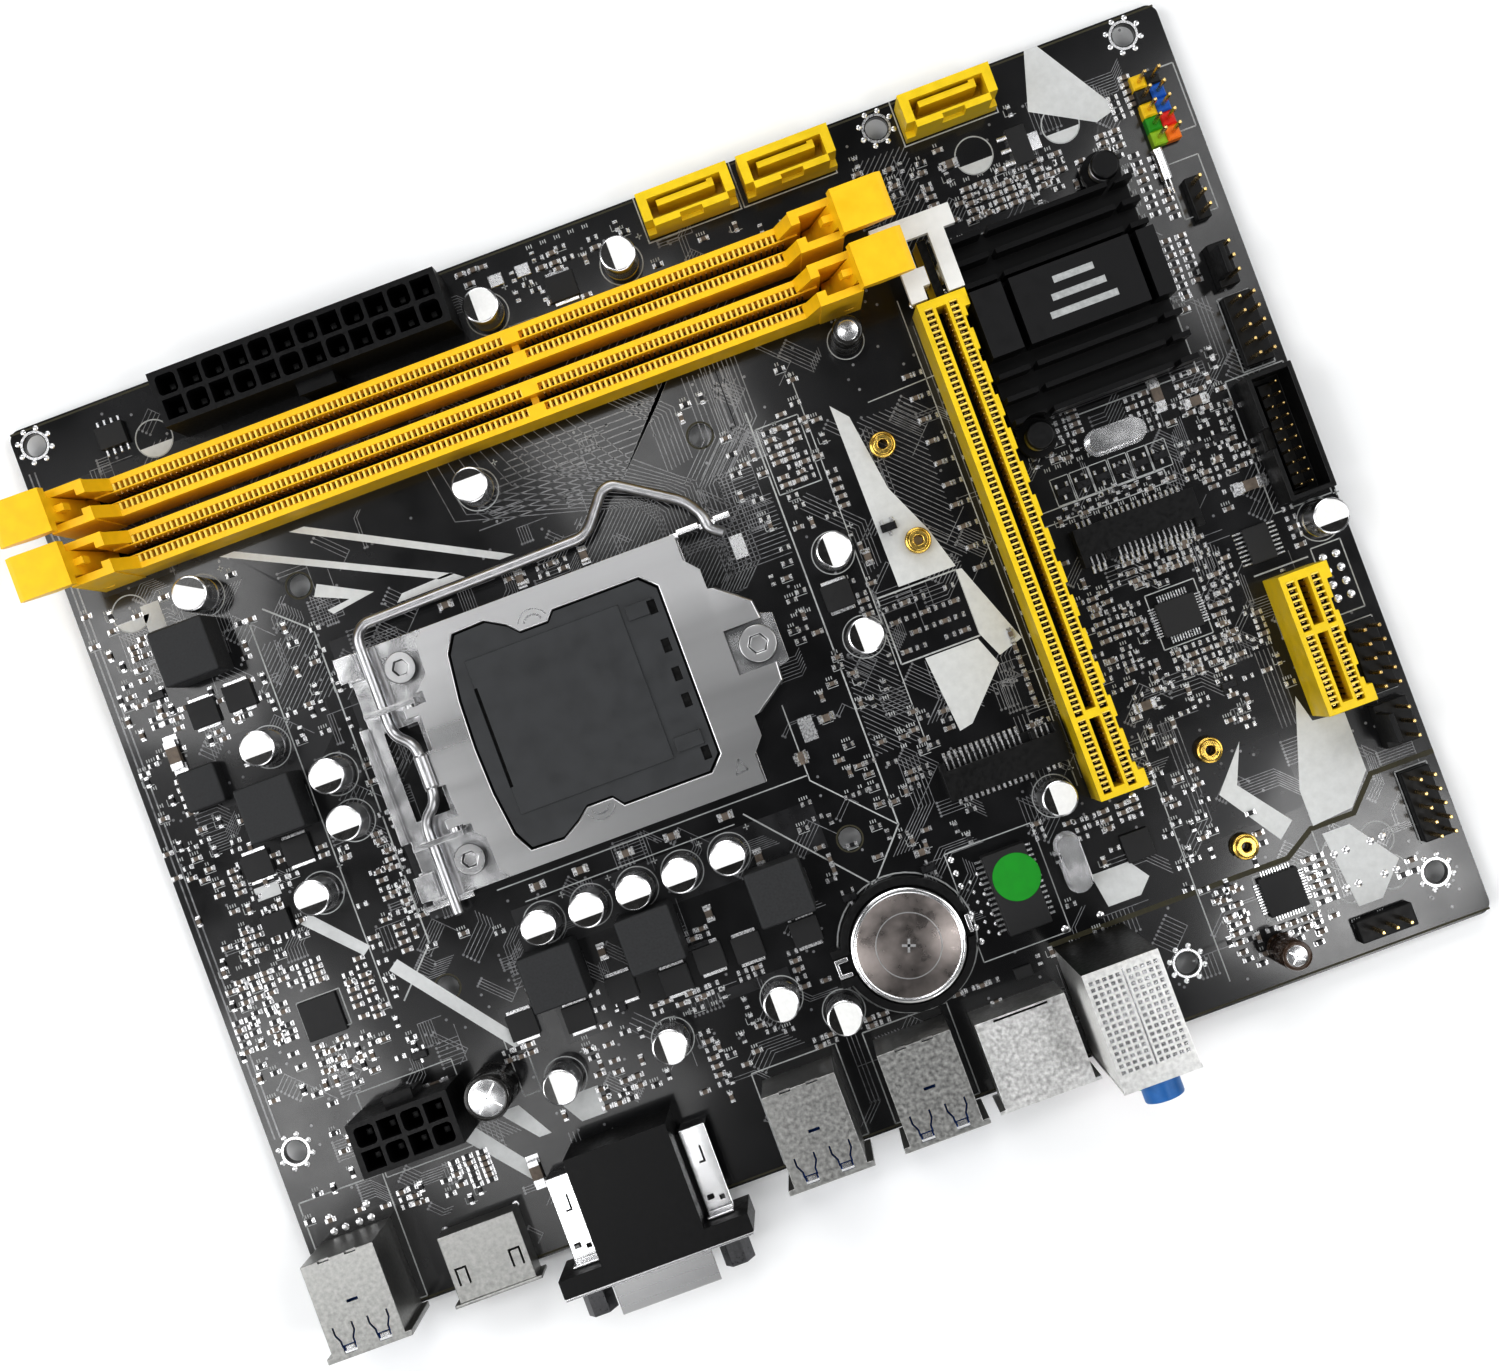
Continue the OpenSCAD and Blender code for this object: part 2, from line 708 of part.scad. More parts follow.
module usb_shells() {
  w = 13;
  d = 17;
  lip = 1.1;
  color("#c3c5c8")
  for (x = usb_x) at(x, 7.4) {
    shell_box(w, d, usb_h, sheet);
    translate([0, 0, usb_h / 2 - 0.4]) block(w - 0.2, d - 0.2, 0.8);
    difference() {
      translate([0, -d / 2 + 0.5, 0]) block(w + 2 * lip, 1, usb_h);
      translate([0, -d / 2 + 0.5, sheet]) block(w - 2 * sheet, 3, usb_h / 2 - sheet - 0.4);
      translate([0, -d / 2 + 0.5, usb_h / 2 + 0.4])
        block(w - 2 * sheet, 3, usb_h / 2 - sheet - 0.4);
    }
  }
}

module usb_tongues() {
  d = 17;
  color("#1a4fa0")
  for (x = usb_x) at(x, 7.4) for (z = [0, 1])
    translate([0, 0, sheet + z * (usb_h / 2)]) {
      translate([-6, d / 2 - 6.6, 0]) cube([12, 6, usb_h / 2 - 1.3]);
      translate([-5.4, -d / 2 + 1, 4.2]) cube([10.8, 11, 1.8]);
    }
}

module display_port_shell() {
  color("#bfc1c4")
  at(30.4, 4.5) {
    difference() {
      block(14, 12.4, 6);
      translate([0, -1, 0.5]) block(13, 12.4, 5);
    }
    difference() {
      translate([0, -6, 0]) block(16, 0.6, 6.4);
      translate([0, -6, 0.5]) block(13, 3, 5);
    }
  }
}

module display_port_tongue() {
  color("#18181a")
  at(30.4, 4.5, 0.5) {
    translate([-6.4, 0.6, 0]) cube([12.8, 4.5, 5]);
    translate([-5.2, -5.2, 1.9]) cube([10.4, 6, 1.3]);
  }
}

video_x = 58.9;
video_y = -5.6;      // rear face of the flange
video_z = 6.6;       // height of the connector's centre line
nut_pitch = 25;

module video_port_body() {
  color("#141517")
  at(video_x, 0) difference() {
    union() {
      translate([-9.2, -2.5, 0]) cube([18.4, 19.5, 12.6]);
      translate([-17, video_y + 0.5, 0]) cube([34, 3.2, 12.6]);
      translate([-13, -3, 0]) cube([26, 16, 5]);
    }
    for (i = [-1, 1]) translate([i * nut_pitch / 2, -8, video_z]) y_disc(1.8, 6.2);
  }
}

// The flange and the D-shaped nose, with the pin field inside
module video_port_shell() {
  nose = [[-8.9, 4], [-7.6, -4], [7.6, -4], [8.9, 4]];
  bore = [[-8.3, 3.4], [-7.1, -3.4], [7.1, -3.4], [8.3, 3.4]];
  color("#c2c4c6")
  at(video_x, video_y, video_z) rotate([90, 0, 0]) difference() {
    union() {
      translate([0, 0, -0.5]) linear_extrude(0.5) difference() {
        square([33.6, 12.4], center = true);
        for (i = [-1, 1]) translate([i * nut_pitch / 2, 0]) circle(r = 1.8, $fn = fine);
      }
      linear_extrude(5.8) polygon(nose);
    }
    translate([0, 0, 0.6]) linear_extrude(9) polygon(bore);
  }
}

module video_port_nuts() {
  color("#4a4c4f")
  for (i = [-1, 1]) at(video_x + i * nut_pitch / 2, video_y, video_z) rotate([90, 0, 0])
    difference() {
      union() {
        cylinder(r = 2.7, h = 5, $fn = 6);
        translate([0, 0, -3]) disc(1.6, 3.2);
      }
      translate([0, 0, 1]) disc(1.25, 6);
    }
}

module video_port_clips() {
  color("#d5d6d8")
  for (i = [-1, 1]) at(video_x + i * 12.2, 0) {
    translate([-2.4, -1.9, 5]) cube([4.8, 15, 0.6]);
    translate([-2.4, 13, 0]) cube([4.8, 0.6, 5.6]);
    translate([-2.4, -1.9, 5.4]) cube([4.8, 0.6, 3.4]);
  }
}

module network_jack_shell() {
  color("#c0c2c4")
  at(130.6, 6.9) {
    shell_box(16, 15.6, jack_h, sheet);
    difference() {
      translate([0, -7.6, 0]) block(18, 0.6, jack_h);
      translate([0, -7.6, sheet]) block(15, 3, jack_h - 2 * sheet);
    }
  }
}

module network_jack_insert() {
  color("#161618")
  at(130.6, 6.9, sheet) difference() {
    translate([-7.5, -7.2, 0]) cube([15, 14.4, jack_h - 2 * sheet - 0.1]);
    translate([-5.9, -8, 3]) cube([11.8, 12, 7.4]);
    translate([-3.2, -8, 1]) cube([6.4, 12, 3]);
    for (j = [0 : 7]) translate([-4.3 + j * 1.16, -2, 9.6]) cube([0.5, 6, 1.6]);
  }
}

module network_transformer() {
  color("#17181a")
  at(137.9, 32.2) block(7.8, 14.6, 3.9);
}

audio_x = 146.9;
audio_jack_z = [6.4, 17, 27.6];

module audio_body() {
  color("#1f2022")
  at(audio_x, 0) difference() {
    translate([-6, 0.6, 0]) cube([12, 18.6, audio_h - 0.6]);
    for (i = [0 : 2]) translate([0, -1, audio_jack_z[i]]) y_disc(1.8, 15 - i * 0.6);
  }
}

module audio_shield() {
  color("#cfd0d2")
  at(audio_x, 0) {
    translate([-6.4, 0.4, audio_h - 0.5]) cube([12.8, 19.6, 0.5]);
    for (x = [-6.4, 6]) translate([x, 0.4, 0]) cube([0.4, 19.6, audio_h - 0.2]);
    translate([-6.4, 19.6, 0]) cube([12.8, 0.4, audio_h - 0.2]);
    difference() {
      translate([-6.6, 0, 0]) cube([13.2, 0.5, audio_h]);
      for (z = audio_jack_z) translate([0, -1, z]) y_disc(3.4, 4);
    }
  }
}

jack_colors = ["#d9789a", "#5fae3f", "#2f6fb0"];

module audio_jacks() {
  for (i = [0 : 2]) color(jack_colors[i]) at(audio_x, -3.8, audio_jack_z[i]) difference() {
    y_disc(3.3, 4.3);
    translate([0, -1, 0]) y_disc(1.8, 7);
  }
}

// ---------- soldered parts ----------

module polymer_cap(r, h) {
  rotate_extrude($fn = fine)
    polygon([[0, 0], [r, 0], [r, 1.2], [r - 0.25, 1.5], [r - 0.25, 1.9], [r, 2.2],
      [r, h - 0.3], [r - 0.3, h], [r - 0.7, h], [r - 0.9, h - 0.25], [0, h - 0.25]]);
}

module polymer_capacitors() {
  color("#c9cbcd")
  for (p = polymer_caps) at(p[0], p[1]) polymer_cap(cap_r, 8.7);
}

module vented_capacitors() {
  color("#2a2118") {
    at(41.2, 31.2) polymer_cap(4, 12);
    at(143.5, 131.6) polymer_cap(2.6, 11);
    at(177.6, 6.4) polymer_cap(2.6, 11);
  }
}

module power_inductors() {
  color("#3a3c3f") {
    for (p = inductors) at(p[0], p[1]) {
      block(inductor_w, inductor_w, 9.5);
      translate([0, 0, 0.4]) block(inductor_w + 0.5, 4, 0.4);
    }
    at(11.6, 97.7) block(6.9, 7.2, 4);
  }
}

module power_transistors() {
  color("#1e1f21")
  for (p = transistors) at(p[0], p[1]) {
    block(5.1, 4.6, 1.1);
    block(4.4, 6, 0.35);
  }
}

module chip(x, y, w, d, h) {
  at(x, y) block(w, d, h);
}

module control_chips() {
  color("#1c1d1f") {
    chip(198.2, 73.5, 4.4, 6.4, 1.4);
    chip(181, 66.7, 7, 6, 1.4);
    chip(181.1, 15.5, 7, 7, 1.4);
    chip(160.4, 31.8, 5, 5, 0.9);
    chip(16.7, 52.9, 7, 7, 0.9);
    chip(17.5, 161.1, 5, 4, 1.5);
    chip(15, 71, 5, 4, 1.5);
    chip(134.2, 18, 3.2, 2, 1);
  }
}

module voltage_regulator() {
  color("#202123")
  at(183.4, 152.6) {
    block(3.5, 6.6, 1.7);
    translate([2.6, 0, 0]) block(2.4, 3.2, 0.6);
    for (j = [-1 : 1]) translate([-2.4, j * 2.3, 0]) block(1.8, 0.8, 0.5);
  }
}

module stadium_can(l, w, h) {
  r = w / 2;
  linear_extrude(h) {
    square([l - w, w], center = true);
    for (i = [-1, 1]) translate([i * (l - w) / 2, 0]) circle(r = r, $fn = fine);
  }
}

module crystals() {
  color("#d8d9da") {
    at(181.4, 99.6) {
      stadium_can(11.2, 4.7, 0.5);
      stadium_can(10, 3.7, 3.6);
    }
    at(148.9, 32.9) rotate([0, 0, 90]) {
      stadium_can(11.2, 4.7, 0.5);
      stadium_can(10, 3.7, 3.6);
    }
    at(205.2, 138, 1.1) y_disc(1.05, 5.6);
    for (x = [204.8, 205.6]) at(x, 135.4, 1.1) y_disc(0.16, 2.7);
  }
}

// ---------- pin headers ----------

pitch = 2.54;
pin_w = 0.64;
base_h = 2.5;
pin_h = 8.6;

// Pin headers, as [x, y, columns, rows]
plain_headers = [[209.1, 109, 2, 5], [209.2, 48.6, 2, 5], [209.2, 21.6, 2, 5], [208.7, 133.1, 1, 3]];

module header_base(nx, ny) {
  block(nx * pitch, ny * pitch, base_h);
}

module header_pin_set(nx, ny, z) {
  for (i = [0 : nx - 1], j = [0 : ny - 1])
    translate([(i - (nx - 1) / 2) * pitch, (j - (ny - 1) / 2) * pitch, z])
      block(pin_w, pin_w, pin_h - z);
}

module panel_header() {
  at(207.4, 150.3) for (i = [0, 1], j = [0 : 4])
    color(["#d9c02a", "#2f6fb0", "#c8b23a", "#3a9a35", "#c62828"][(i + j) % 5])
      translate([(i - 0.5) * pitch, (j - 2) * pitch, 0]) block(pitch, pitch, base_h);
}

module usb_headers() {
  color("#161618") {
    for (h = plain_headers) at(h[0], h[1]) header_base(h[2], h[3]);
    at(195.6, 4.6) header_base(4, 1.6);
  }
}

shroud_pos = [207.9, 89.6];

module shrouded_header() {
  color("#18191b")
  at(shroud_pos[0], shroud_pos[1]) {
    difference() {
      block(8.2, 22.6, 8.8);
      translate([0, 0, 1.6]) block(6.4, 20.8, 10);
      translate([-4.1, 0, 4]) block(3, 3.6, 10);
    }
    translate([0, -0.1, 0]) block(2.4, 19, 2.6);
  }
}

module fan_headers() {
  color("#19191b") {
    at(208.6, 120.8) {
      block(3.6, 7.8, 3.2);
      translate([-1.8, -2.6, 0]) cube([1, 5.2, 10.5]);
    }
    at(209, 36.6) {
      block(6, 7.8, 3.2);
      translate([-3, -2.6, 0]) cube([1, 5.2, 10.5]);
    }
  }
}

module header_pins() {
  color("#d9b45a") {
    at(207.4, 150.3) header_pin_set(2, 5, base_h);
    for (h = plain_headers) at(h[0], h[1]) header_pin_set(h[2], h[3], base_h);
    at(195.6, 4.6) header_pin_set(3, 1, base_h);
    at(208.9, 120.8) for (j = [-1 : 1])
      translate([0, j * pitch, 3.2]) block(pin_w, pin_w, 7);
    at(209.9, 36.6) for (j = [-1 : 1])
      translate([0, j * pitch, 3.2]) block(pin_w, pin_w, 7);
    at(shroud_pos[0], shroud_pos[1]) for (j = [0 : 9], i = [-1, 1])
      if (!(i < 0 && j == 9))
        translate([i * 1, (j - 4.5) * 2, 2.6]) block(0.5, 0.5, 4.6);
  }
}

// ---------- solder on the underside ----------

tail_r = 0.75;
tail_h = back_plate_t + film_t;

module tail(x, y) {
  at(x, y, -board_t - tail_h) cylinder(r1 = 0.4, r2 = tail_r, h = tail_h, $fn = fine);
}

module solder_tails() {
  color("#c8cacc") {
    for (i = [0 : 11], j = [-1, 1])
      tail(55.7 + (i - 5.5) * cell_pitch, 161.1 + j * cell_pitch / 2);
    for (i = [0 : 3], j = [-1, 1])
      tail(26.3 + (i - 1.5) * cell_pitch, 30.4 + j * cell_pitch / 2);
    for (x = usb_x, i = [-1, 1], y = [4, 12]) tail(x + i * 5.6, y);
    for (i = [-1, 1], y = [3, 12]) tail(130.6 + i * 7, y);
    for (i = [-1, 1], y = [4, 17]) tail(audio_x + i * 4.6, y);
    for (i = [-1, 1], y = [2, 11]) tail(video_x + i * 12.2, y);
    for (x = drive_port_x, i = [-1, 1]) tail(x + i * 6.6, drive_port_y);
    for (h = [for (k = [0 : 2]) plain_headers[k]], i = [-0.5, 0.5], j = [-2 : 2])
      tail(h[0] + i * pitch, h[1] + j * pitch);
  }
}

circuit_board();
socket_back_plate();
back_plate_film();
cpu_socket();
socket_cap();
load_frame();
load_plate();
load_lever();
frame_screws();
memory_slot_front();
memory_slot_rear();
front_slot_left_latch();
front_slot_right_latch();
rear_slot_left_latch();
rear_slot_right_latch();
graphics_slot();
graphics_slot_clip();
short_slot();
drive_ports();
main_power_socket();
cpu_power_socket();
card_edge_sockets();
card_standoffs();
chipset();
thermal_pad();
chipset_heatsink();
heatsink_pins();
heatsink_springs();
battery_holder();
battery();
battery_clip();
usb_shells();
usb_tongues();
display_port_shell();
display_port_tongue();
video_port_body();
video_port_shell();
video_port_nuts();
video_port_clips();
network_jack_shell();
network_jack_insert();
network_transformer();
audio_body();
audio_shield();
audio_jacks();
polymer_capacitors();
vented_capacitors();
power_inductors();
power_transistors();
control_chips();
voltage_regulator();
crystals();
panel_header();
usb_headers();
shrouded_header();
fan_headers();
header_pins();
solder_tails();
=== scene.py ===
"""Looks for a micro-ATX class main board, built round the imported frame.

Lengths in the tables are millimetres, measured from the board's rear left corner, with z from
the board's top face, as in the CAD source. Blender works in metres in the row frame.
"""
import json
import math
import random

import bmesh
import bpy
from mathutils import Matrix, Vector

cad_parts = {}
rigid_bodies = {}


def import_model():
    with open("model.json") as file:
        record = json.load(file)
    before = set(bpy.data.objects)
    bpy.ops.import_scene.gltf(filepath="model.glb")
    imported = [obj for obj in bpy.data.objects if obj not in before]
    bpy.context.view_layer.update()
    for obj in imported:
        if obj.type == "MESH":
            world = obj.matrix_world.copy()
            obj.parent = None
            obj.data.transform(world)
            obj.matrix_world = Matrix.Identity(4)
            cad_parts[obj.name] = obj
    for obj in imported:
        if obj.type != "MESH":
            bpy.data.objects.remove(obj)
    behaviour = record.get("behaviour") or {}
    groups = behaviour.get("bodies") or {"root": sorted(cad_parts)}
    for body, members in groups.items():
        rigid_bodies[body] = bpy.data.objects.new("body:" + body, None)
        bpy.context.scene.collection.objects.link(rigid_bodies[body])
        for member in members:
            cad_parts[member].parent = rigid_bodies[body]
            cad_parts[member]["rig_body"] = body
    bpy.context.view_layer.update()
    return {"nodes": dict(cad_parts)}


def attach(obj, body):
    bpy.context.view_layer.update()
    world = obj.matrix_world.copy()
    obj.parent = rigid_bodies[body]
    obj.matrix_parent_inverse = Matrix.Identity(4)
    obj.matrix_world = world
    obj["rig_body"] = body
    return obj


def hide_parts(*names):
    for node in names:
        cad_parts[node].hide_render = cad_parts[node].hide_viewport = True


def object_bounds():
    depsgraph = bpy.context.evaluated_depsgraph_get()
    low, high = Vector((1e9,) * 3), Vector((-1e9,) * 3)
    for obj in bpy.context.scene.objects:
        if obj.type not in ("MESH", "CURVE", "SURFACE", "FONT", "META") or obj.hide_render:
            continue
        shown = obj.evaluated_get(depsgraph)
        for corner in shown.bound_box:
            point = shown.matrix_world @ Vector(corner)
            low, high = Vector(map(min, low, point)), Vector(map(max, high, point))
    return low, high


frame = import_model()
NODES = frame["nodes"]
ORIGIN_X, ORIGIN_Y, TOP = 184.24, 86.97, 1.6      # the row frame's origin, the board's top
BOARD_X, BOARD_Y = 214, 168
MEMORY_Y = (148.95, 139.5)                        # the two memory slots' middle lines
BATTERY_AT = (117.1, 29.7)
BARE_CANS = ((192.8, 18.5), (199.5, 18.5), (192.8, 12.3), (199.8, 12.3))     # unfilled places
SOT_ROW_X = (169.8, 173.4, 176.9, 180.5, 184.1, 187.6)
rng = random.Random(11)


def row(x, y, z=0.0):
    """Board millimetres to a point of the row frame in metres."""
    return Vector(((x - ORIGIN_X) / 1000, (y - ORIGIN_Y) / 1000, (z + TOP) / 1000))


# ---------- materials ----------

def finish_for(name, colour, rough=0.4, metal=0.0, vary=0.12, grain=500.0, fine=5000.0,
               bump=0.1, coat=0.0, stretch=(1, 1, 1), specks=0.0, specular=0.5):
    """A procedural finish: colour drifts over grain, roughness and relief over the fine noise."""
    m = bpy.data.materials.new(name)
    m.use_nodes = True
    tree = m.node_tree
    new, link = tree.nodes.new, tree.links.new
    shader = tree.nodes["Principled BSDF"]
    shader.inputs["Metallic"].default_value = metal
    shader.inputs["Coat Weight"].default_value = coat
    shader.inputs["Coat Roughness"].default_value = 0.08
    shader.inputs["Specular IOR Level"].default_value = specular
    where = new("ShaderNodeTexCoord")
    place = new("ShaderNodeMapping")
    place.inputs["Scale"].default_value = stretch
    link(where.outputs["Object"], place.inputs["Vector"])
    broad = new("ShaderNodeTexNoise")
    broad.inputs["Scale"].default_value = grain
    broad.inputs["Detail"].default_value = 5
    close = new("ShaderNodeTexNoise")
    close.inputs["Scale"].default_value = fine
    close.inputs["Detail"].default_value = 3
    for n in (broad, close):
        link(place.outputs["Vector"], n.inputs["Vector"])
    tint = new("ShaderNodeValToRGB")
    tint.color_ramp.elements[0].position = 0.3
    tint.color_ramp.elements[1].position = 0.7
    for e, k in zip(tint.color_ramp.elements, (1 - vary, 1 + vary)):
        e.color = [min(1.0, c * k) for c in colour] + [1]
    if specks:
        e = tint.color_ramp.elements.new(0.78)
        e.color = [min(1.0, c + specks) for c in colour] + [1]
    link(broad.outputs["Fac"], tint.inputs["Fac"])
    link(tint.outputs["Color"], shader.inputs["Base Color"])
    gloss = new("ShaderNodeMapRange")
    gloss.inputs["From Min"].default_value = 0.3
    gloss.inputs["From Max"].default_value = 0.7
    gloss.inputs["To Min"].default_value = rough * 0.8
    gloss.inputs["To Max"].default_value = min(1.0, rough * 1.25)
    link(broad.outputs["Fac"], gloss.inputs["Value"])
    link(gloss.outputs["Result"], shader.inputs["Roughness"])
    relief = new("ShaderNodeBump")
    relief.inputs["Strength"].default_value = bump
    relief.inputs["Distance"].default_value = 0.00005
    link(close.outputs["Fac"], relief.inputs["Height"])
    link(relief.outputs["Normal"], shader.inputs["Normal"])
    return m


LONG_X, LONG_Y, LONG_Z = (0.05, 1, 1), (1, 0.05, 1), (1, 1, 0.05)
MASK = finish_for("solder_mask", (0.004, 0.004, 0.005), 0.22, vary=0.5, grain=120, fine=2600,
                  bump=0.06, coat=0.5)
# Tracks: the grey of copper under the mask, made lighter as a painted sheen of the light the raised
# tracks catch.
TRACK_WITH_SHEEN = finish_for("covered_track_painted_sheen", (0.2, 0.202, 0.21), 0.22, vary=0.35, grain=900, bump=0.1,
                   coat=0.5)
POUR = finish_for("covered_pour", (0.016, 0.016, 0.018), 0.3, vary=0.3, grain=300, bump=0.08,
                  coat=0.5)
INK = finish_for("white_ink", (0.6, 0.61, 0.61), 0.55, vary=0.05, grain=900, bump=0.12)
MARK = finish_for("fine_ink", (0.42, 0.43, 0.43), 0.55, vary=0.15, grain=1500, bump=0.1)
OLIVE = finish_for("bare_laminate", (0.045, 0.04, 0.018), 0.5, vary=0.25, grain=1500, bump=0.3)
SOLDER = finish_for("tinned_solder", (0.75, 0.75, 0.76), 0.28, 1, 0.12, 2500, bump=0.08)
NICKEL = finish_for("nickel_plate", (0.56, 0.56, 0.565), 0.3, 1, 0.08, 60, 3000, 0.002,
                    stretch=LONG_X)
STEEL = finish_for("stamped_steel", (0.6, 0.6, 0.605), 0.3, 1, 0.08, 200, 3000, 0.003,
                   stretch=LONG_Y)
BRIGHT = finish_for("bright_plate", (0.86, 0.86, 0.87), 0.2, 1, 0.06, 300, bump=0.003)
SHEET = finish_for("pale_sheet", (0.8, 0.8, 0.79), 0.38, 1, 0.12, 1400, 6000, 0.03)
SATIN = finish_for("satin_sheet", (0.42, 0.42, 0.41), 0.36, 1, 0.2, 1400, 6000, 0.04)
WIRE = finish_for("drawn_wire", (0.5, 0.5, 0.51), 0.34, 1, 0.08, 400, 3000, 0.002)
# Dark steel: the video port's nuts in their own colour, and painted shade on the frame screws'
# sides.
DARK_STEEL_AND_SHADE = finish_for("dark_nut_and_screw_shade", (0.13, 0.13, 0.135), 0.32, 1, 0.15, 1800, bump=0.03)
FILM = finish_for("insulating_film", (0.02, 0.02, 0.022), 0.5, vary=0.2, grain=700)
BLACK = finish_for("black_nylon", (0.006, 0.006, 0.0065), 0.36, vary=0.3, grain=1300, bump=0.05,
                   specular=0.35)
# Painted shade: near black, for the floors of slots and socket cells and the cover's faces by the
# load plate's edges, where shade falls.
RECESS_SHADE = finish_for("painted_recess_shade", (0.004, 0.004, 0.004), 0.8, vary=0.3, grain=1300)
CAP_GREY = finish_for("grey_cover", (0.042, 0.044, 0.047), 0.5, vary=0.16, grain=240, fine=7000,
                      bump=0.12)
AMBER = finish_for("amber_nylon", (0.9, 0.57, 0.012), 0.36, vary=0.05, grain=420, bump=0.15)
YELLOW = finish_for("yellow_nylon", (0.8, 0.59, 0.01), 0.36, vary=0.06, grain=420, bump=0.15)
RIB = finish_for("pale_rib", (0.9, 0.72, 0.16), 0.4, vary=0.06, grain=900)
WHITE = finish_for("white_nylon", (0.78, 0.78, 0.76), 0.32, vary=0.03, grain=500)
BLUE = finish_for("blue_nylon", (0.012, 0.075, 0.32), 0.34, vary=0.08, grain=800)
BRASS = finish_for("brass", (0.78, 0.56, 0.16), 0.22, 1, 0.1, 1500, bump=0.02)
GOLD = finish_for("gold_plate", (0.8, 0.6, 0.28), 0.25, 1, 0.12, 2500, bump=0.03)
CHIP = finish_for("chip_compound", (0.017, 0.017, 0.018), 0.5, vary=0.2, grain=1800, fine=9000,
                  bump=0.12)
PAD = finish_for("thermal_gum", (0.28, 0.33, 0.38), 0.8, vary=0.15, grain=1500)
ANODISED = finish_for("black_anodised", (0.005, 0.005, 0.0055), 0.4, 0.1, 0.2, 500, 8000, 0.05,
                      stretch=LONG_X, specular=0.3)
ANODISED_FACE = finish_for("satin_anodised", (0.014, 0.014, 0.015), 0.5, 0.2, 0.12, 500, 9000,
                           0.06, specular=0.35)
FERRITE = finish_for("pressed_powder", (0.035, 0.036, 0.038), 0.55, 0.15, 0.25, 2600, 7000, 0.25,
                     specks=0.03)
CAN = finish_for("drawn_can", (0.72, 0.72, 0.73), 0.26, 1, 0.06, 300, 3000, 0.003, stretch=LONG_Z)
CAP_WHITE = finish_for("can_top", (0.82, 0.82, 0.81), 0.45, 0, 0.03, 1500, bump=0.1)
SLEEVE = finish_for("dark_sleeve", (0.012, 0.011, 0.01), 0.25, vary=0.2, grain=900, coat=0.4)
BROWN_SLEEVE = finish_for("brown_sleeve", (0.05, 0.024, 0.01), 0.25, vary=0.2, grain=900, coat=0.4)
BATTERY = finish_for("battery_steel", (0.26, 0.235, 0.225), 0.3, 1, 0.18, 420, 6000, 0.03)
CERAMIC = finish_for("ceramic", (0.16, 0.13, 0.105), 0.5, vary=0.3, grain=900)
RESISTOR = finish_for("resistor_glaze", (0.012, 0.012, 0.014), 0.3, vary=0.3, grain=1500)
GREEN_DOT = finish_for("green_sticker", (0.004, 0.3, 0.014), 0.5, vary=0.06, grain=800, bump=0.2)
JACKS = [finish_for("pink_jack", (0.7, 0.2, 0.32), 0.35),
         finish_for("green_jack", (0.12, 0.45, 0.06), 0.35),
         finish_for("blue_jack", (0.03, 0.16, 0.42), 0.35)]
PANEL = [finish_for("panel_" + n, c, 0.4, vary=0.06, grain=900) for n, c in (
    ("yellow", (0.8, 0.55, 0.01)), ("blue", (0.01, 0.12, 0.5)), ("black", (0.012, 0.012, 0.012)),
    ("green", (0.02, 0.3, 0.01)), ("red", (0.7, 0.02, 0.01)), ("lime", (0.3, 0.5, 0.02)),
    ("orange", (0.85, 0.22, 0.01)))]


# ---------- mesh building ----------

def shaded(me, angle=38):
    me.polygons.foreach_set("use_smooth", [True] * len(me.polygons))
    me.set_sharp_from_angle(angle=math.radians(angle))
    me.update()


def add_piece(name, me, body, mats):
    o = bpy.data.objects.new(name, me)
    bpy.context.scene.collection.objects.link(o)
    painted = [p.material_index for p in me.polygons]
    me.materials.clear()
    for m in mats:
        me.materials.append(m)
    me.polygons.foreach_set("material_index", painted)
    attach(o, body)
    return o


